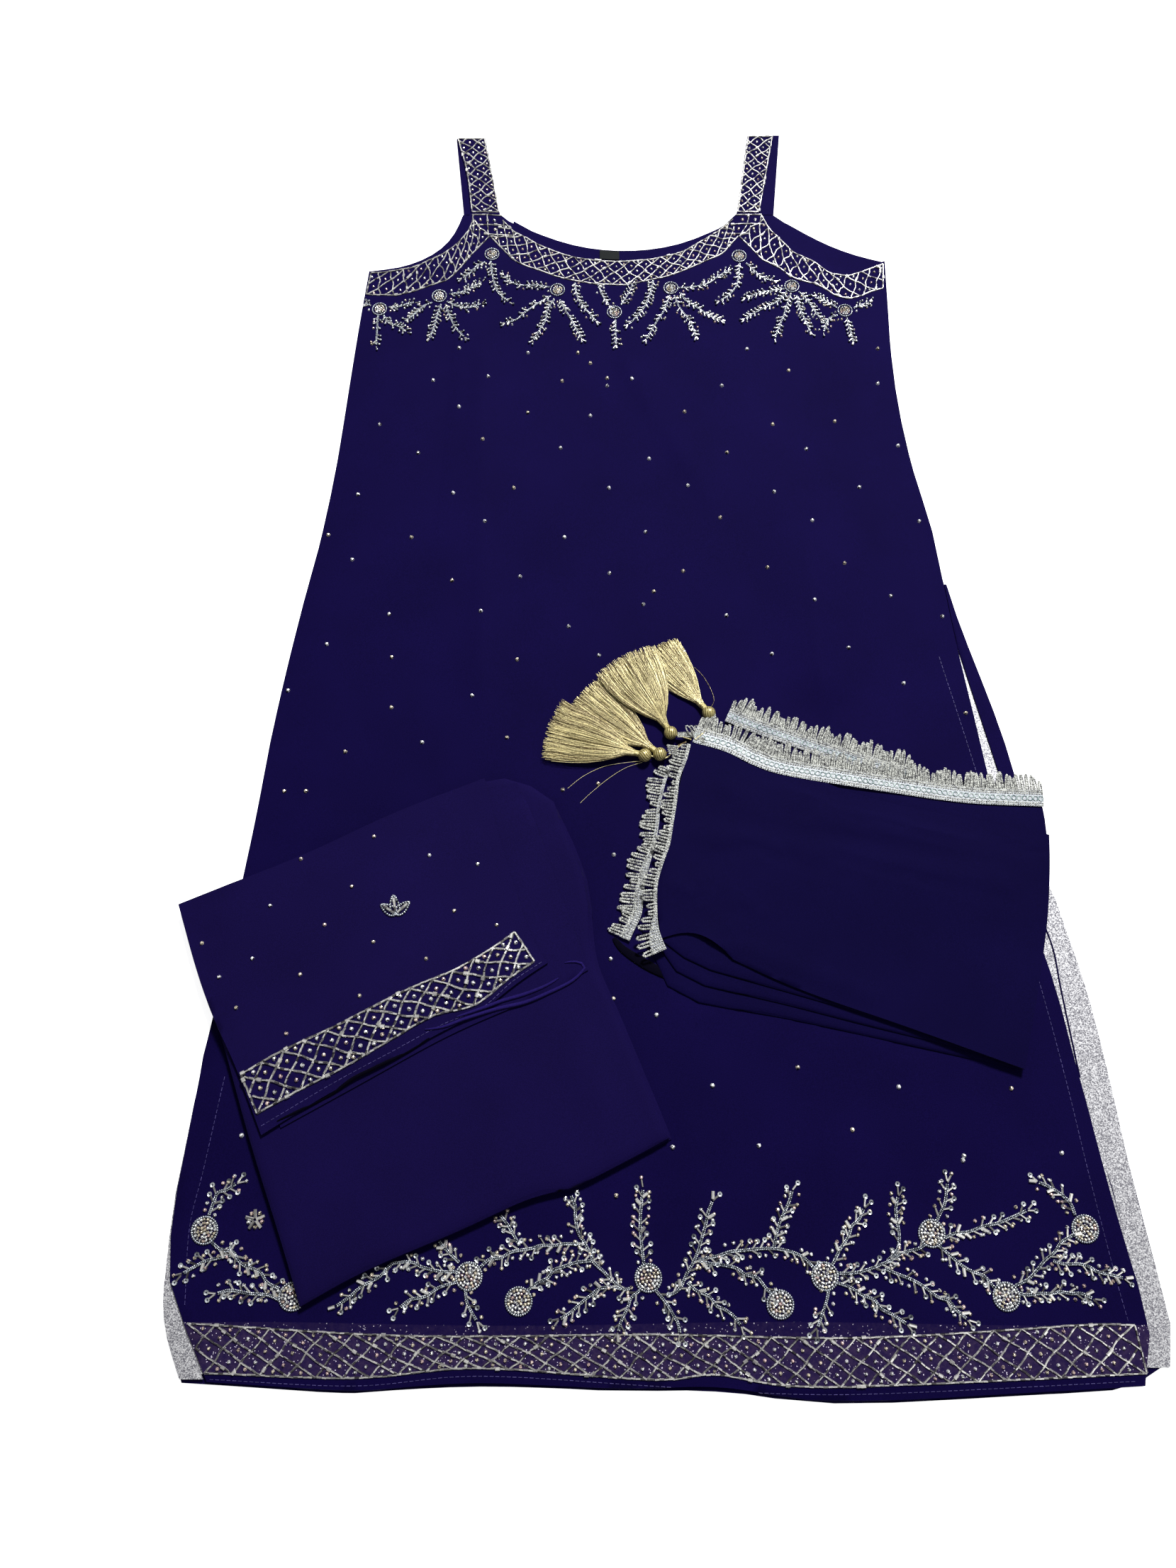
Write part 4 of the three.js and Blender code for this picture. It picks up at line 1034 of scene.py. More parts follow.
scattered = {
    "size": (3.6, 3.6, 1.8),
    "places": [
        (-158, 302), (-96, 297), (-51, 297), (-40, 286), (-180, 268), (-131, 271), (-65, 267),
        (-25, 270), (-25, 262), (101, 301), (137, 277), (77, 262), (219, 302), (216, 265), (-156, 240),
        (-225, 222), (-95, 234), (-40, 231), (43, 234), (120, 221), (175, 225), (229, 201),
        (-190, 193), (-134, 206), (-66, 198), (11, 187), (79, 193), (148, 196), (-240, 152),
        (-158, 153), (-106, 158), (-24, 158), (44, 160), (118, 153), (192, 159), (-130, 125),
        (-263, 113), (-241, 89), (-192, 110), (-62, 110), (7, 115), (71, 129), (149, 125), (241, 126),
        (-156, 69), (-99, 73), (-24, 76), (38, 78), (109, 81), (174, 85), (4, 47), (13, 59),
        (-131, 40), (-207, 38), (-58, 27), (73, 37), (146, 49), (211, 55), (-257, 11), (-203, -1),
        (-100, -3), (-33, 1), (37, 4), (109, 2), (172, 7), (252, 36), (215, -24), (-286, -30),
        (-136, -35), (-236, -83), (-201, -45), (-175, -75), (-107, -71), (-282, -116), (-265, -116),
        (-211, -154), (-150, -125), (-34, -110), (-62, -115), (263, -50), (-22, -168), (-25, -249),
        (-23, -279), (9, -291), (112, -329), (49, -342), (185, -343), (267, -344), (19, -385),
        (81, -384), (149, -373), (228, -391), (227, -394), (298, -389), (-22, -418), (-292, -377),
        (-3, 268),
    ],
}


print("kurta beadwork")
kurtaWork = Beadwork("kurta", pieces["kurta_front"], covers)
for band in neckBands:
    rows = (band["top"], band["foot"], band["first"], band["second"])
    latticeBand(kurtaWork, *rows, thickness["neck"], band["ends"])
for points in cornerLines:
    tubeString(kurtaWork, SmoothLine(points), thickness["neck"])
for x, y in cornerStones:
    kurtaWork.lay("stone", x, y, 0.3, lattice["stone"])
hemBand = {
    "top": [(-318, -501), (-163, -509), (0, -508), (99, -510), (180, -509), (299, -502), (334, -502)],
    "foot": [(-303, -532), (-201, -535), (-117, -529), (0, -536), (45, -533), (97, -540), (180, -539),
             (338, -532)],
}
hemRows = (hemBand["top"], hemBand["foot"], (19, 38), (19, -38))
latticeBand(kurtaWork, *hemRows, thickness["hem"], (False, True))
for x, y in neckRosettes:
    rosette(kurtaWork, x, y, 6.4, 2.0, (1.6, 1.6, 1.5))
for points in neckSprays:
    stem(kurtaWork, points, sprayTwig)
for x, y in vineRosettes:
    rosette(kurtaWork, x, y, 9.0, 2.5)
for points in vineStems:
    stem(kurtaWork, points, vineTwig)
for k in range(smallFlower["petals"]):
    angle = smallFlower["turn"] + k * smallFlower["step"]
    petal = around(*smallFlower["middle"], 4, angle)
    kurtaWork.lay("bugle", *petal, angle, smallFlower["petal"], tint=0.6)
    kurtaWork.lay("stone", *around(*smallFlower["middle"], 5, angle + 0.6), 0, smallStone)
for x, y in scattered["places"]:
    kurtaWork.lay("stone", x, y, dice.uniform(0, 3), scattered["size"], tint=dice.uniform(0.3, 1))
kurtaBeads = kurtaWork.make(beadLooks, "kurta_cloth")

strapBeads = {}
for node, band in strapBands.items():
    work = Beadwork(node, pieces[node])
    latticeBand(work, band["top"], band["foot"], (13, 22), (13, -22), thickness["neck"])
    strapBeads[node] = work.make(beadLooks, "kurta_cloth")


# Palazzo: the hem's lattice border, one leaf and scattered stones

palazzoBand = {
    "top": [(-293, -335), (-266, -319), (-226, -300), (-178, -275), (-140, -259), (-112, -242),
            (-97, -231)],
    "foot": [(-279, -362), (-250, -346), (-219, -330), (-187, -311), (-155, -293), (-125, -285),
             (-101, -266), (-82, -253)],
}
palazzoStones = [
    (-266, -170), (-210, -152), (-166, -167), (-128, -174), (-332, -194), (-287, -207), (-225, -192),
    (-244, -222), (-145, -211), (-112, -222), (-206, -235), (-337, -236), (-297, -248), (-165, -248),
    (-260, -260), (-214, -276), (-306, -285), (-267, -304), (-321, -262)
]
palazzoHeight = 17  # of the trousers' upper side, in millimetres

print("palazzo beadwork")
palazzoWork = Beadwork("palazzo", pieces["palazzo_leg_top"])
latticeBand(palazzoWork, palazzoBand["top"], palazzoBand["foot"], (17, 35), (17, -35), thickness["leg"])
for x, y in palazzoStones:
    palazzoWork.lay("stone", *underView(x, y, palazzoHeight), dice.uniform(0, 3), smallStone)


def leafPetal(work, x, y, heading, length, width):
    # an outline of seed beads round a row of stones
    for k in range(20):
        angle = 2 * math.pi * (k + 0.5) / 20
        along = length / 2 * (1 + math.cos(angle))
        across = width / 2 * math.sin(angle) * (1 - 0.35 * math.cos(angle))
        px = x + along * math.cos(heading) - across * math.sin(heading)
        py = y + along * math.sin(heading) + across * math.cos(heading)
        work.lay("seed", px, py, heading, (2.3, 2.0, 1.7), tint=dice.uniform(0.3, 0.9))
    for k in range(3):
        spot = around(x, y, length * (0.25 + 0.25 * k), heading)
        work.lay("bugle", *spot, heading, (3.4, 2.4, 1.9), tint=dice.uniform(0.2, 0.8))


leaf = {"foot": (-187, -217), "petals": ((2.6, 13), (1.75, 14), (0.75, 13)), "width": 6.5}
for heading, length in leaf["petals"]:
    leafPetal(palazzoWork, *leaf["foot"], heading, length, leaf["width"])
palazzoBeads = palazzoWork.make(beadLooks, "palazzo_cloth")


# Stitching: short dashes of thread along the slits and hems

stitch = {"size": (2.6, 0.42, 0.3), "pitch": 3.9, "wobble": 0.0}


def stitchThread(wire):
    tint = wire.attribute("tint")
    return {"Base Color": tint.blend(srgb(30, 22, 78), srgb(66, 58, 116))}


stitchMaterial = newMaterial("stitchThread", stitchThread, Roughness=0.6)
templates["stitch"] = templates["bugle"]
stitchLooks = {"stitch": stitchMaterial}
stitchLines = {
    "kurta_front": [
        [(246, 0), (266, -98), (285, -200), (303, -305), (315, -400), (325, -470), (330, -500)],
        [(-308, -335), (-317, -400), (-323, -440), (-321, -490)],
        [(-300, -536), (-201, -540), (-117, -534), (0, -540), (97, -545), (180, -544), (330, -537)],
    ],
    "palazzo_leg_top": [
        [(-276, -371), (-224, -340), (-187, -320), (-150, -300), (-120, -287), (-98, -268),
         (-76, -253)],
    ],
}
stitches = {}
for node, lines in stitchLines.items():
    work = Beadwork(node, pieces[node], covers if node == "kurta_front" else None)
    for points in lines:
        work.string("stitch", SmoothLine(points), stitch["pitch"], stitch["size"], stitch["wobble"])
    stitches[node] = work.make(stitchLooks, "kurta_cloth" if node == "kurta_front" else "palazzo_cloth")


# Threads: many thin tubes made as one curve and kept as a mesh

def threads(name, lines, radius, material, slot, sides=0, taper=False):
    curve = bpy.data.curves.new(name, "CURVE")
    curve.dimensions = "3D"
    curve.bevel_depth = radius * mm
    curve.bevel_resolution = sides
    curve.use_fill_caps = True
    for line in lines:
        spline = curve.splines.new("POLY")
        spline.points.add(len(line) - 1)
        flat = []
        for x, y, z in line:
            flat.extend((x * mm + shift.x, y * mm + shift.y, z * mm, 1))
        spline.points.foreach_set("co", flat)
        if taper:
            shares = np.linspace(0, math.pi, len(line))
            spline.points.foreach_set("radius", 0.3 + 0.7 * np.sqrt(np.maximum(0, np.sin(shares))))
    maker = bpy.data.objects.new(name + "_maker", curve)
    scene.collection.objects.link(maker)
    bpy.context.view_layer.update()
    mesh = bpy.data.meshes.new_from_object(maker.evaluated_get(bpy.context.evaluated_depsgraph_get()))
    bpy.data.objects.remove(maker)
    mesh.name = name
    for polygon in mesh.polygons:
        polygon.use_smooth = True
    return place(mesh, name, material, slot)


# Lace: a tape with a chain of rings between knotted borders, and finger loops beyond it

def laceThread(dark, light):
    def build(wire):
        tint = wire.island()
        grain = wire.noise(1500.0, 3.0, 0.7)
        share = (0.4 * tint + 0.6 * grain).between(0.3, 0.7)
        return {
            "Base Color": share.blend(srgb(*dark), srgb(*light)),
            "Roughness": 0.5 - 0.2 * tint,
            "Normal": wire.bump(grain, 0.3 * mm, 0.8),
        }
    return build


tapeMaterial = newMaterial("laceTape", laceThread((52, 52, 70), (150, 154, 158)), Metallic=0.35)
knotMaterial = glintMaterial("laceKnot", 0.4, 0.35, (0.1, 0.95), (70, 70, 73), (224, 226, 218), 0.5)
ringMaterial = glintMaterial("laceRing", 0.4, 0.35, (0.1, 0.95), (120, 138, 142), (236, 246, 242), 0.5)

laceStrips = [
    {"node": "lace_top_inner", "widths": [(0, 13), (1, 13)],
     "low": (12.1, 10.7), "side": 1, "rings": True,
     "shortest": 8, "longest": 14, "pitch": 3.3, "half": 0.85, "knot": (2.1, 1.9, 1.4),
     "path": [(41, -78), (67, -86), (88, -97), (110, -105), (153, -113), (198, -120), (254, -128),
              (314, -131)]},
    {"node": "lace_top_outer", "widths": [(0, 12), (1, 12)],
     "low": (6.6, 6.6), "side": 1, "rings": True,
     "shortest": 6, "longest": 14, "pitch": 3.3, "half": 0.85, "knot": (2.1, 1.9, 1.4),
     "path": [(68, -58), (86, -66), (106, -74), (130, -83), (158, -93), (186, -102), (212, -110)]},
    {"node": "lace_side_outer", "widths": [(0, 2.2), (0.45, 2.6), (0.6, 6), (1, 8)],
     "low": (6.6, 6.6), "side": -1, "rings": False,
     "shortest": 5, "longest": 12, "pitch": 4.9, "half": 1.2, "knot": (2.3, 2.05, 1.5),
     "path": [(24, -98), (20, -108), (17, -119), (14.5, -131), (13.5, -143), (10.5, -160), (5.5, -177),
              (3, -188), (0.5, -199), (-1, -215), (-7, -228), (-10.5, -236)]},
    {"node": "lace_side_inner", "widths": [(0, 2.6), (0.84, 2.6), (0.93, 9), (1, 12)],
     "low": (12.2, 12.2), "side": -1, "rings": False,
     "shortest": 2, "longest": 10, "pitch": 5.2, "half": 1.3, "knot": (2.3, 2.05, 1.5),
     "path": [(39.5, -80), (36, -93), (30, -109), (27.5, -127), (24.5, -144), (21.5, -161), (18, -171),
              (13.5, -184), (11, -195), (10.5, -209), (11, -225), (14, -236), (17, -243)]},
]
lace = {"thick": 0.8, "ring": 4.2, "knot": 1.9, "column": 1.7, "droop": 1.4}
faceSizes = {"knot": (2.1, 1.5, 1.1), "ring": (3.9, 3.7, 1.0)}


def laceWidth(row, share):
    return float(np.interp(share, [s for s, _ in row["widths"]], [w for _, w in row["widths"]]))


def laceHeight(row, share):
    return mix(*row["low"], ease(0.45, 0.65, share))


def lacePoint(row, line, distance, out):
    x, y = line.at(distance)
    heading = line.heading(distance)
    px = x - math.sin(heading) * row["side"] * out
    py = y + math.cos(heading) * row["side"] * out
    return px, py, heading


def laceTape(row, line):
    shape = bmesh.new()
    steps = round(line.length / 4)
    bmesh.ops.create_grid(shape, x_segments=steps, y_segments=4, size=1)
    for vert in shape.verts:
        distance = (vert.co.x + 1) / 2 * line.length
        out = (vert.co.y + 1) / 2 * laceWidth(row, distance / line.length)
        x, y, _ = lacePoint(row, line, distance, out)
        z = laceHeight(row, distance / line.length)
        vert.co = inSpace(x, y, z)
    bmesh.ops.recalc_face_normals(shape, faces=shape.faces)
    walls = bmesh.ops.extrude_face_region(shape, geom=shape.faces[:])
    tops = [item for item in walls["geom"] if isinstance(item, bmesh.types.BMVert)]
    for vert in tops:
        vert.co.z += lace["thick"] * mm
    bmesh.ops.recalc_face_normals(shape, faces=shape.faces)
    return finish(shape, row["node"] + "_tape", tapeMaterial, "lace")


def ringTemplate():
    ring = bmesh.new()
    turns = (0.0, 1.57, 3.14, 4.71)
    profile = [ring.verts.new((0.5 + 0.13 * math.cos(a), 0, 0.5 * math.sin(a))) for a in turns]
    edges = [ring.edges.new((profile[k], profile[(k + 1) % 4])) for k in range(4)]
    bmesh.ops.spin(
        ring, geom=profile + edges, cent=(0, 0, 0), axis=(0, 0, 1),
        angle=2 * math.pi, steps=10, use_merge=True,
    )
    bmesh.ops.recalc_face_normals(ring, faces=ring.faces)
    return ring


templates["ring"] = ringTemplate()


def placed(x, y, z, heading, size):
    turn = Matrix.Rotation(heading, 4, "Z")
    grow = Matrix.Diagonal((size[0] * mm, size[1] * mm, size[2] * mm, 1))
    return Matrix.Translation(inSpace(x, y, z)) @ turn @ grow


def braid(points, pitch, size, slant=0.5):
    # knots one after another along a line of points in space
    plan = SmoothLine([(x, y) for x, y, _ in points])
    shares = np.linspace(0, 1, len(points))
    count = max(1, round(plan.length / pitch))
    out = []
    for k in range(count + 1):
        x, y = plan.share(k / count)
        z = float(np.interp(k / count, shares, [point[2] for point in points]))
        out.append(placed(x, y, z, plan.heading(k / count * plan.length) + slant, size))
    return out


def knotPiece(name, template, matrices, material):
    tints = [dice.random() for _ in matrices]
    return joinedCopies(name, templates[template], matrices, tints, material, "lace")


def laceFace(row, line):
    # knots along both borders and rings down the middle of a wide tape, rows of knots on a narrow one
    knots = []
    rings = []
    count = round(line.length / lace["knot"])
    for k in range(count):
        share = (k + 0.5) / count
        width = laceWidth(row, share)
        columns = max(1, round(width / lace["column"]))
        places = [(c + 0.5) * width / columns for c in range(columns)]
        if row["rings"]:
            places = (0.9, 2.6, width - 2.9, width - 1.1)
        z = laceHeight(row, share) + lace["thick"] + 0.1
        for out in places:
            x, y, heading = lacePoint(row, line, share * line.length, out + dice.uniform(-0.15, 0.15))
            knots.append(placed(x, y, z, heading + 0.5, faceSizes["knot"]))
    made = [knotPiece(row["node"] + "_knots", "seed", knots, knotMaterial)]
    if row["rings"]:
        count = round(line.length / lace["ring"])
        for k in range(count):
            share = (k + 0.5) / count
            z = laceHeight(row, share) + lace["thick"] + 0.2
            x, y, heading = lacePoint(row, line, share * line.length, laceWidth(row, share) * 0.48)
            rings.append(placed(x, y, z, heading, faceSizes["ring"]))
        made.append(knotPiece(row["node"] + "_rings", "ring", rings, ringMaterial))
    return made


def laceFingers(row, line):
    # each finger is a braided loop
    knots = []
    count = round(line.length / row["pitch"])
    for k in range(count):
        share = (k + 0.5) / count
        width = laceWidth(row, share)
        wave = abs(math.sin(math.pi * (k + 0.4) / 6.5)) ** 0.8
        reach = mix(row["shortest"], row["longest"], wave) * dice.uniform(0.88, 1.08)
        z = laceHeight(row, share) + 0.6
        lean = dice.uniform(-0.16, 0.16)
        twistUp = dice.uniform(0, 0.7)
        loop = []
        for side, far in ((-1, -1.2), (-1, 0.4 * reach), (-0.85, 0.85 * reach), (0, reach),
                          (0.85, 0.85 * reach), (1, 0.4 * reach), (1, -1.2)):
            sideways = side * row["half"] + lean * max(0, far)
            x, y, heading = lacePoint(row, line, share * line.length, width + far)
            x, y = around(x, y, sideways, heading)
            fall = lace["droop"] * max(0, far) / row["longest"]
            loop.append((x, y, z - fall + 0.35 * twistUp * (1 + side)))
        knots.extend(braid(loop, row["knot"][0] * 0.72, row["knot"]))
    return knotPiece(row["node"] + "_fingers", "seed", knots, knotMaterial)


# Rolled folds: the trouser hem's inner layer, and near black rolls where no light reaches: painted shade in
# the gap under the trouser hem, and painted shadow cast on the kurta by the dupatta's lifted corner

foldRolls = [
    {"name": "palazzo_hem_curl", "look": "inner", "radius": 1.5, "slot": "palazzo_cloth", "lines": [
        [(-174, -303), (-162, -303), (-148, -301), (-132, -295), (-110, -288), (-89, -283),
         (-72, -276), (-54, -267), (-45, -258), (-47, -254), (-55, -253), (-72, -256)],
        [(-145, -296), (-124, -289), (-106, -282), (-89, -277), (-72, -270), (-58, -261)],
    ]},
    # near black roll of painted shade in the gap under the trouser hem
    {"name": "palazzo_hem_painted_shade", "look": "dark", "radius": 1.3, "slot": "palazzo_cloth", "lines": [
        [(-272, -375), (-265, -368), (-251, -361), (-228, -349), (-212, -338), (-196, -330),
         (-174, -319), (-158, -309), (-149, -303)],
    ]},
    # near black band of painted shadow on the kurta below the dupatta's lifted corner, pressed flat below
    {"name": "dupatta_painted_shadow", "look": "dark", "radius": 3.8, "slot": "dupatta_cloth",
     "on": "kurta_front", "flat": 0.16, "lines": [
        [(-26, -228), (-20, -237), (-13, -244), (4, -255), (17, -261), (30, -267), (44, -274)],
    ]},
]
innerCloth = {"dark": (20, 12, 62), "light": (32, 22, 84), "weave": 0.1}
# near black cloth of painted shade and painted shadow
paintedShadeCloth = {"dark": (1, 0, 8), "light": (3, 2, 16), "weave": 0.1}
foldLooks = {
    "inner": newMaterial("palazzoInner", plainCloth(innerCloth), **soft),
    "dark": newMaterial("paintedShadeAndShadow", plainCloth(paintedShadeCloth), **soft),
}
topCloth = surfaceOf(*pieces.values())
for row in foldRolls:
    ground = surfaceOf(pieces[row["on"]]) if "on" in row else topCloth
    rolls = []
    for points in row["lines"]:
        run = SmoothLine(points)
        roll = []
        for share in np.linspace(0, 1, 41):
            x, y = run.share(share).tolist()
            hit = ground.ray_cast(inSpace(x, y, lookFrom), down)[0]
            roll.append((x, y, hit.z / mm + 0.2 * row["radius"]))
        heights = np.convolve([z for _, _, z in roll], np.ones(7) / 7, "valid")
        roll = [(x, y, z) for (x, y, _), z in zip(roll[3:-3], heights)]
        rolls.append(roll)
    look = foldLooks[row["look"]]
    rolled = threads(row["name"], rolls, row["radius"], look, row["slot"], sides=2, taper=True)
    # the painted shadow is pressed flat onto the cloth below
    if "flat" in row:
        middle = np.mean([z for _, _, z in rolls[0]]) * mm
        for vert in rolled.data.vertices:
            vert.co.z = middle + (vert.co.z - middle) * row["flat"]


print("lace")
laceExtras = {}
for row in laceStrips:
    line = SmoothLine(row["path"])
    tape = laceTape(row, line)
    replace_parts(tape, row["node"])
    extras = laceFace(row, line) + [laceFingers(row, line)]
    laceExtras[row["node"]] = {"row": row, "tape": tape, "length": line.length, "extras": extras}

# Where the strips meet: the end that ties the third tassel, and a turned-up end beside the side strips
cornerKnots = []
for shiftY in (-1.6, -0.5, 0.6, 1.7):
    cornerKnots += braid([(30, -71 + shiftY, 10), (37, -71 + shiftY, 11), (44, -73 + shiftY, 12.6),
                          (50, -77 + shiftY, 13.6)], 1.3, (1.8, 1.3, 1.2))
for step in range(5):
    low = -80.5 - 1.7 * step
    course = [(21 + 0.4 * step, low, 12.4), (29 - 0.3 * step, low - 1.2, 12.8)]
    cornerKnots += braid(course, 1.4, (1.9, 1.5, 1.2))
for lean in (-4, -1, 3, 6):
    course = [(44, -76, 13.4), (42 + lean, -70, 13), (40 + lean, -65, 12.4),
              (42.5 + lean, -65, 12.4), (46, -75, 13.4)]
    cornerKnots += braid(course, 1.2, (1.6, 1.3, 1.1))
corner = knotPiece("lace_corner_knots", "seed", cornerKnots, knotMaterial)
laceExtras["lace_top_inner"]["extras"].append(corner)


# Tassels: a wound ball head, a short wrapped neck and a skirt of threads

def goldThread(wire):
    tint = wire.island()
    grain = wire.noise(800.0, 3.0, 0.7)
    share = (0.3 * tint + 0.7 * grain).between(0.32, 0.68)
    return {
        "Base Color": share.blend(srgb(78, 58, 20), srgb(226, 214, 160)),
        "Roughness": 0.45 - 0.15 * tint,
    }


def woundThread(wire):
    # the head's thread is wound from pole to pole, so its ribs follow the winding attribute; each rib is
    # painted dark in its groove and light on its crown, painted shade and highlight beside the bump
    winding = wire.attribute("winding")
    rib = winding.maths("SINE", winding * 42.0) * 0.5 + 0.5
    share = (0.45 * rib + 0.55 * wire.noise(900.0, 3.0)).between(0.2, 0.8)
    return {
        "Base Color": share.blend(srgb(96, 82, 36), srgb(198, 186, 130)),
        "Normal": wire.bump(rib, 0.15 * mm),
    }


goldMaterial = newMaterial("goldThread", goldThread, Metallic=0.25)
woundMaterial = newMaterial("woundThread", woundThread, Metallic=0.45, Roughness=0.38)

tasselRows = [
    {"name": "tassel_1", "x": 3, "y": -88, "aim": 163, "fan": 38, "length": 80, "over": 1},
    {"name": "tassel_2", "x": 15, "y": -87, "aim": 139, "fan": 34, "length": 82, "over": 0},
    {"name": "tassel_3", "x": 24, "y": -69, "aim": 119, "fan": 42, "length": 76, "over": 1},
    {"name": "tassel_4", "x": 55, "y": -52, "aim": 125, "fan": 30, "length": 72, "over": 0},
]
tassel = {
    "head": 5.4, "floor": 4.3, "strands": 620, "thread": 0.2, "stations": 9, "raise": 3.6, "stray": 0.03,
}
wrap = {"radius1": 2.6, "radius2": 2.2, "depth": 5}  # the short wrapped neck


def tasselHead(row):
    shape = bmesh.new()
    bmesh.ops.create_uvsphere(shape, u_segments=28, v_segments=18, radius=tassel["head"])
    neck = bmesh.ops.create_cone(shape, cap_ends=True, segments=20, **wrap)["verts"]
    bmesh.ops.rotate(shape, verts=neck, matrix=Matrix.Rotation(math.pi / 2, 3, "Y"))
    bmesh.ops.translate(shape, verts=neck, vec=(7.2, 0, -0.6))
    winding = shape.verts.layers.float.new("winding")
    for vert in shape.verts:
        if vert in neck:
            vert[winding] = vert.co.x * 0.06
        else:
            vert[winding] = math.atan2(vert.co.y, vert.co.z) / 3 + 0.05 * vert.co.x
    turn = Matrix.Rotation(math.radians(row["aim"]), 3, "Z")
    bmesh.ops.rotate(shape, verts=shape.verts, matrix=turn)
    for vert in shape.verts:
        vert.co = vert.co * mm
    middle = inSpace(row["x"], row["y"], tassel["floor"] + tassel["head"])
    bmesh.ops.translate(shape, verts=shape.verts, vec=middle)
    return finish(shape, row["name"] + "_head", woundMaterial, "thread", 1.2)


def tasselSkirt(row):
    aim = math.radians(row["aim"])
    half = math.radians(row["fan"] / 2)
    headZ = tassel["floor"] + tassel["head"]
    bottom = tassel["floor"] + 0.5 + tassel["raise"] * row["over"]
    lines = []
    for _ in range(tassel["strands"]):
        share = dice.uniform(-1, 1)
        layer = dice.random()
        length = row["length"] * dice.uniform(0.9, 1.02) * (1 - 0.05 * share * share)
        bend = dice.uniform(-1, 1)
        phase = dice.uniform(0, 6)
        stray = dice.random() < tassel["stray"]
        line = []
        for step in range(tassel["stations"]):
            t = step / (tassel["stations"] - 1)
            s = mix(6.5, length, t)
            opened = ease(5, 26, s)
            bulge = 1.0 + 0.45 * math.sin(math.pi * min(1, s / 70)) * (1 - 0.5 * t)
            spread = share * mix(1.9, half * s * bulge * (1 + 0.1 * bend * t), opened)
            spread += 0.7 * math.sin(phase + 5 * t) * t
            if stray:
                spread += 6 * bend * t * t
            deep = mix(3.4, mix(5.4, 2.2, ease(20, 80, s)), opened)
            crown = math.sqrt(max(0.05, 1 - 0.8 * share * share))
            low = mix(headZ - 2.2, bottom, ease(6, 24, s))
            z = low + layer * deep * crown
            x = row["x"] + math.cos(aim) * s - math.sin(aim) * spread
            y = row["y"] + math.sin(aim) * s + math.cos(aim) * spread
            line.append((x, y, z))
        lines.append(line)
    return threads(row["name"] + "_skirt", lines, tassel["thread"], goldMaterial, "thread")


print("tassels")
for row in tasselRows:
    tasselHead(row)
    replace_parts(tasselSkirt(row), row["name"])

# Cords from the heads to the lace corner, and a few loose threads
cordLines = [
    [(8, -88, 8.6), (13, -90, 9.6), (20, -90, 9.4), (26, -85, 9.8), (32, -80, 12.6)],
    [(20, -86, 9.0), (25, -83, 10.0), (31, -80, 12.4), (36, -78, 13.0)],
    [(29, -71, 9.4), (34, -73, 10.6), (40, -76, 13.2)],
    [(57, -56, 9.0), (56, -62, 10.4), (50, -70, 13.0), (43, -76, 13.4)],
]
strayLines = [
    [(0, -92, 7), (-14, -93, 5.2), (-30, -96, 4.9), (-46, -104, 4.8), (-58, -114, 4.8)],
    [(1, -93, 7), (-12, -97, 5.2), (-26, -106, 4.9), (-40, -118, 4.8), (-48, -126, 4.8)],
    [(56, -48, 8), (60, -40, 5.6), (58, -30, 4.9), (52, -18, 4.8), (45, -10, 4.8)],
]


def bentLine(points, steps=14):
    plan = SmoothLine([(x, y) for x, y, _ in points])
    share = np.linspace(0, 1, len(points))
    out = []
    for k in range(steps + 1):
        t = k / steps
        x, y = plan.share(t)
        out.append((x, y, float(np.interp(t, share, [p[2] for p in points]))))
    return out


# Dark gaps where the back's cloth shows between the front's silver edge and the wide silver facing
slitGaps = [
    [(306, -221), (311, -242), (312.7, -266), (314.4, -287), (316.4, -308), (318, -326), (319, -336)],
    [(326, -388), (330, -404), (332.3, -417), (334, -430), (336, -441)],
]
threadRadius = {"gap": 0.65, "cord": 0.55, "stray": 0.16}
gapSpots = Beadwork("slit", pieces["back_facing_right"])
gapThreads = []
for points in slitGaps:
    run = SmoothLine(points)
    spots = [(*run.share(t).tolist(), gapSpots.spot(*run.share(t))[0]) for t in np.linspace(0, 1, 25)]
    gapThreads.append([(x, y, point.z / mm + 0.1) for x, y, point in spots if point is not None])
threads("slit_gaps", gapThreads, threadRadius["gap"], kurtaMaterial, "kurta_cloth", sides=1)
cords = [bentLine(line) for line in cordLines]
threads("tassel_cords", cords, threadRadius["cord"], goldMaterial, "thread", sides=1)
strays = [bentLine(line) for line in strayLines]
threads("loose_threads", strays, threadRadius["stray"], goldMaterial, "thread")


# What each cloth was cut to, and what is sewn on it

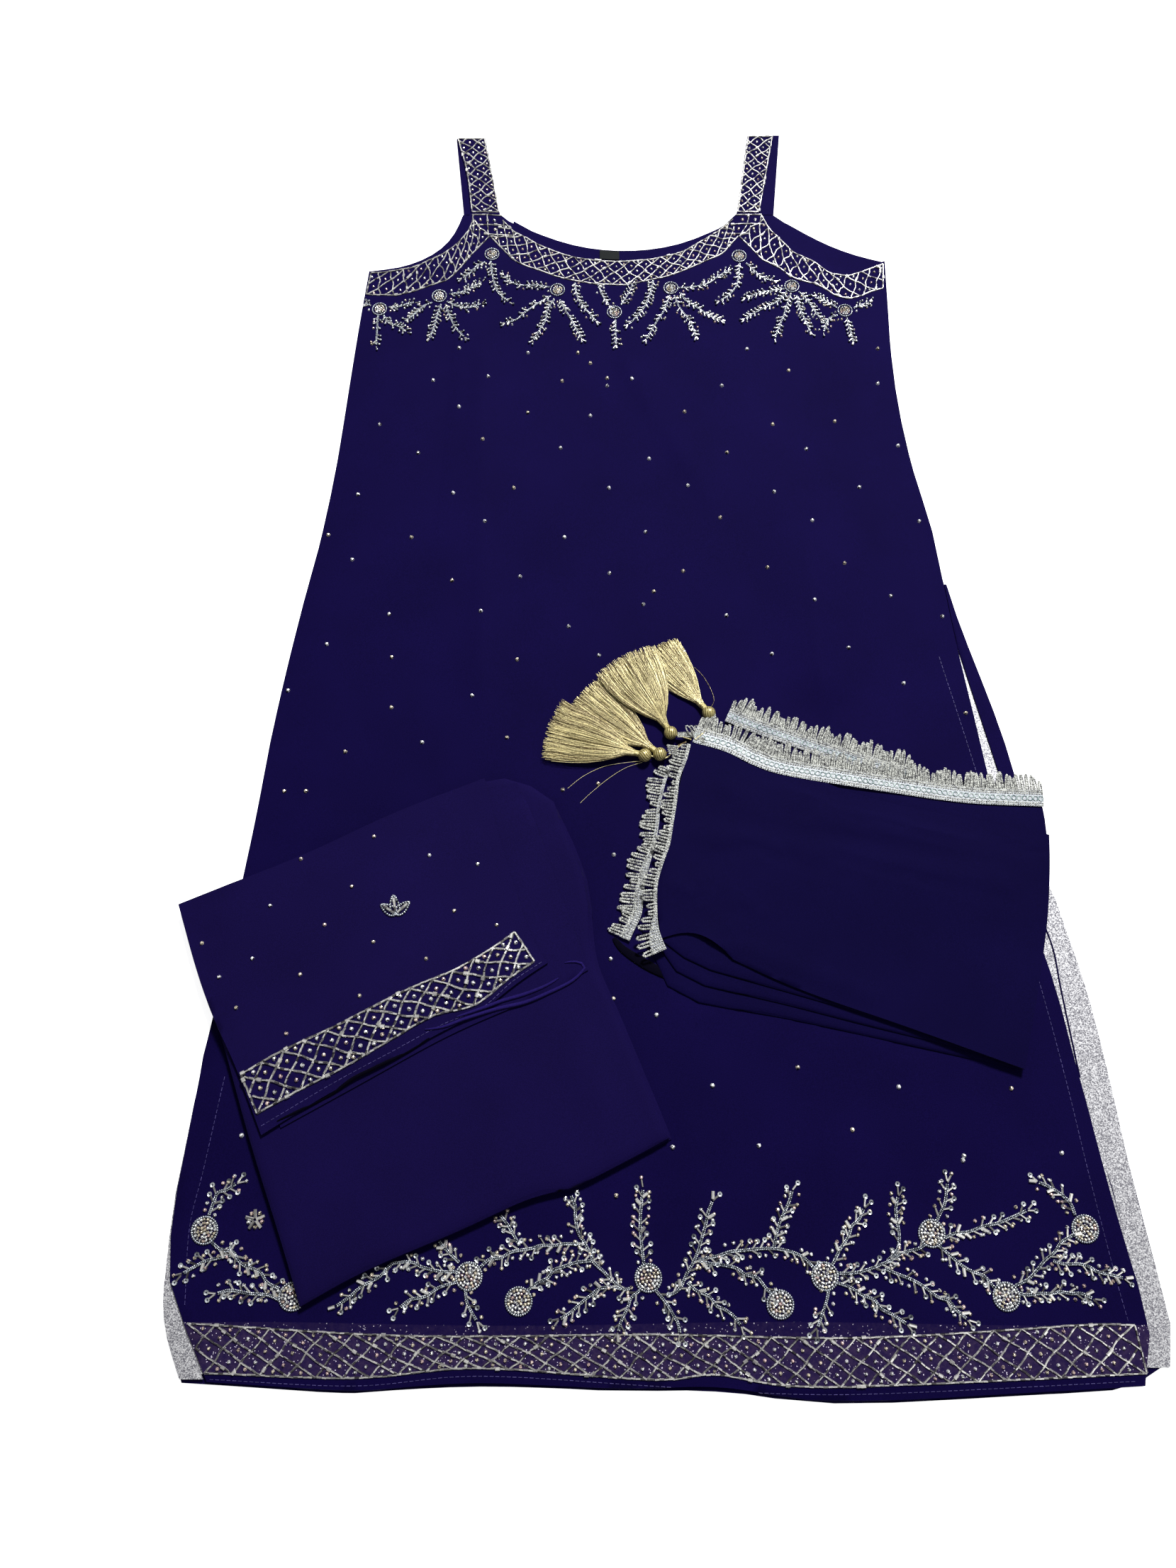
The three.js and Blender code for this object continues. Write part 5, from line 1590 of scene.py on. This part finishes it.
sewnOn = {"kurta_front": kurtaBeads + stitches["kurta_front"]}
sewnOn["palazzo_leg_top"] = palazzoBeads + stitches["palazzo_leg_top"]
sewnOn.update(strapBeads)
for node, row in flatSizes.items():
    extras = sewnOn.get(node, [])
    area = row.get("area")
leastWidth = 0.01  # of a sheet, in metres
for made in laceExtras.values():
    widths = [laceWidth(made["row"], share) for share in np.linspace(0, 1, 101)]
    width = float(np.mean(widths)) * mm
    area = width * made["length"] * mm
    flat = (max(leastWidth, width), made["length"] * mm)


# Floor and light

studio = {"key": 118.0, "fill": 6.0, "sky": 0.25, "floorGlow": 0.8}


def paleFloor(wire):
    grain = wire.noise(3.0, 2.0)
    return {"Base Color": grain.blend((0.86, 0.86, 0.86, 1), (0.89, 0.89, 0.89, 1))}


floorGlow = {"Emission Color": (1, 1, 1, 1), "Emission Strength": studio["floorGlow"]}
floorShape = bmesh.new()
bmesh.ops.create_grid(floorShape, x_segments=1, y_segments=1, size=6)
floorMesh = bpy.data.meshes.new("floor")
floorShape.to_mesh(floorMesh)
floorShape.free()
floorMesh.transform(Matrix.Translation((0, 0, -0.3 * mm)))
floorMesh.materials.append(newMaterial("paleFloor", paleFloor, Roughness=0.9, **floorGlow))
floor = bpy.data.objects.new("floor", floorMesh)
scene.collection.objects.link(floor)


def areaLight(name, power, size, spot, target):
    data = bpy.data.lights.new(name, "AREA")
    data.energy = power
    data.size = size
    light = bpy.data.objects.new(name, data)
    light.location = spot
    light.rotation_euler = (Vector(target) - Vector(spot)).to_track_quat("-Z", "Y").to_euler()
    scene.collection.objects.link(light)


areaLight("key", studio["key"], 0.4, (0.45, 1.35, 2.1), (0, 0, 0))
areaLight("fill", studio["fill"], 1.6, (1.4, -0.6, 1.8), (0, 0, 0))
world = bpy.data.worlds.new("studio")
world.use_nodes = True
world.node_tree.nodes["Background"].inputs[0].default_value = (1, 1, 1, 1)
world.node_tree.nodes["Background"].inputs[1].default_value = studio["sky"]
scene.world = world
scene.view_settings.view_transform = "Standard"

print("done")
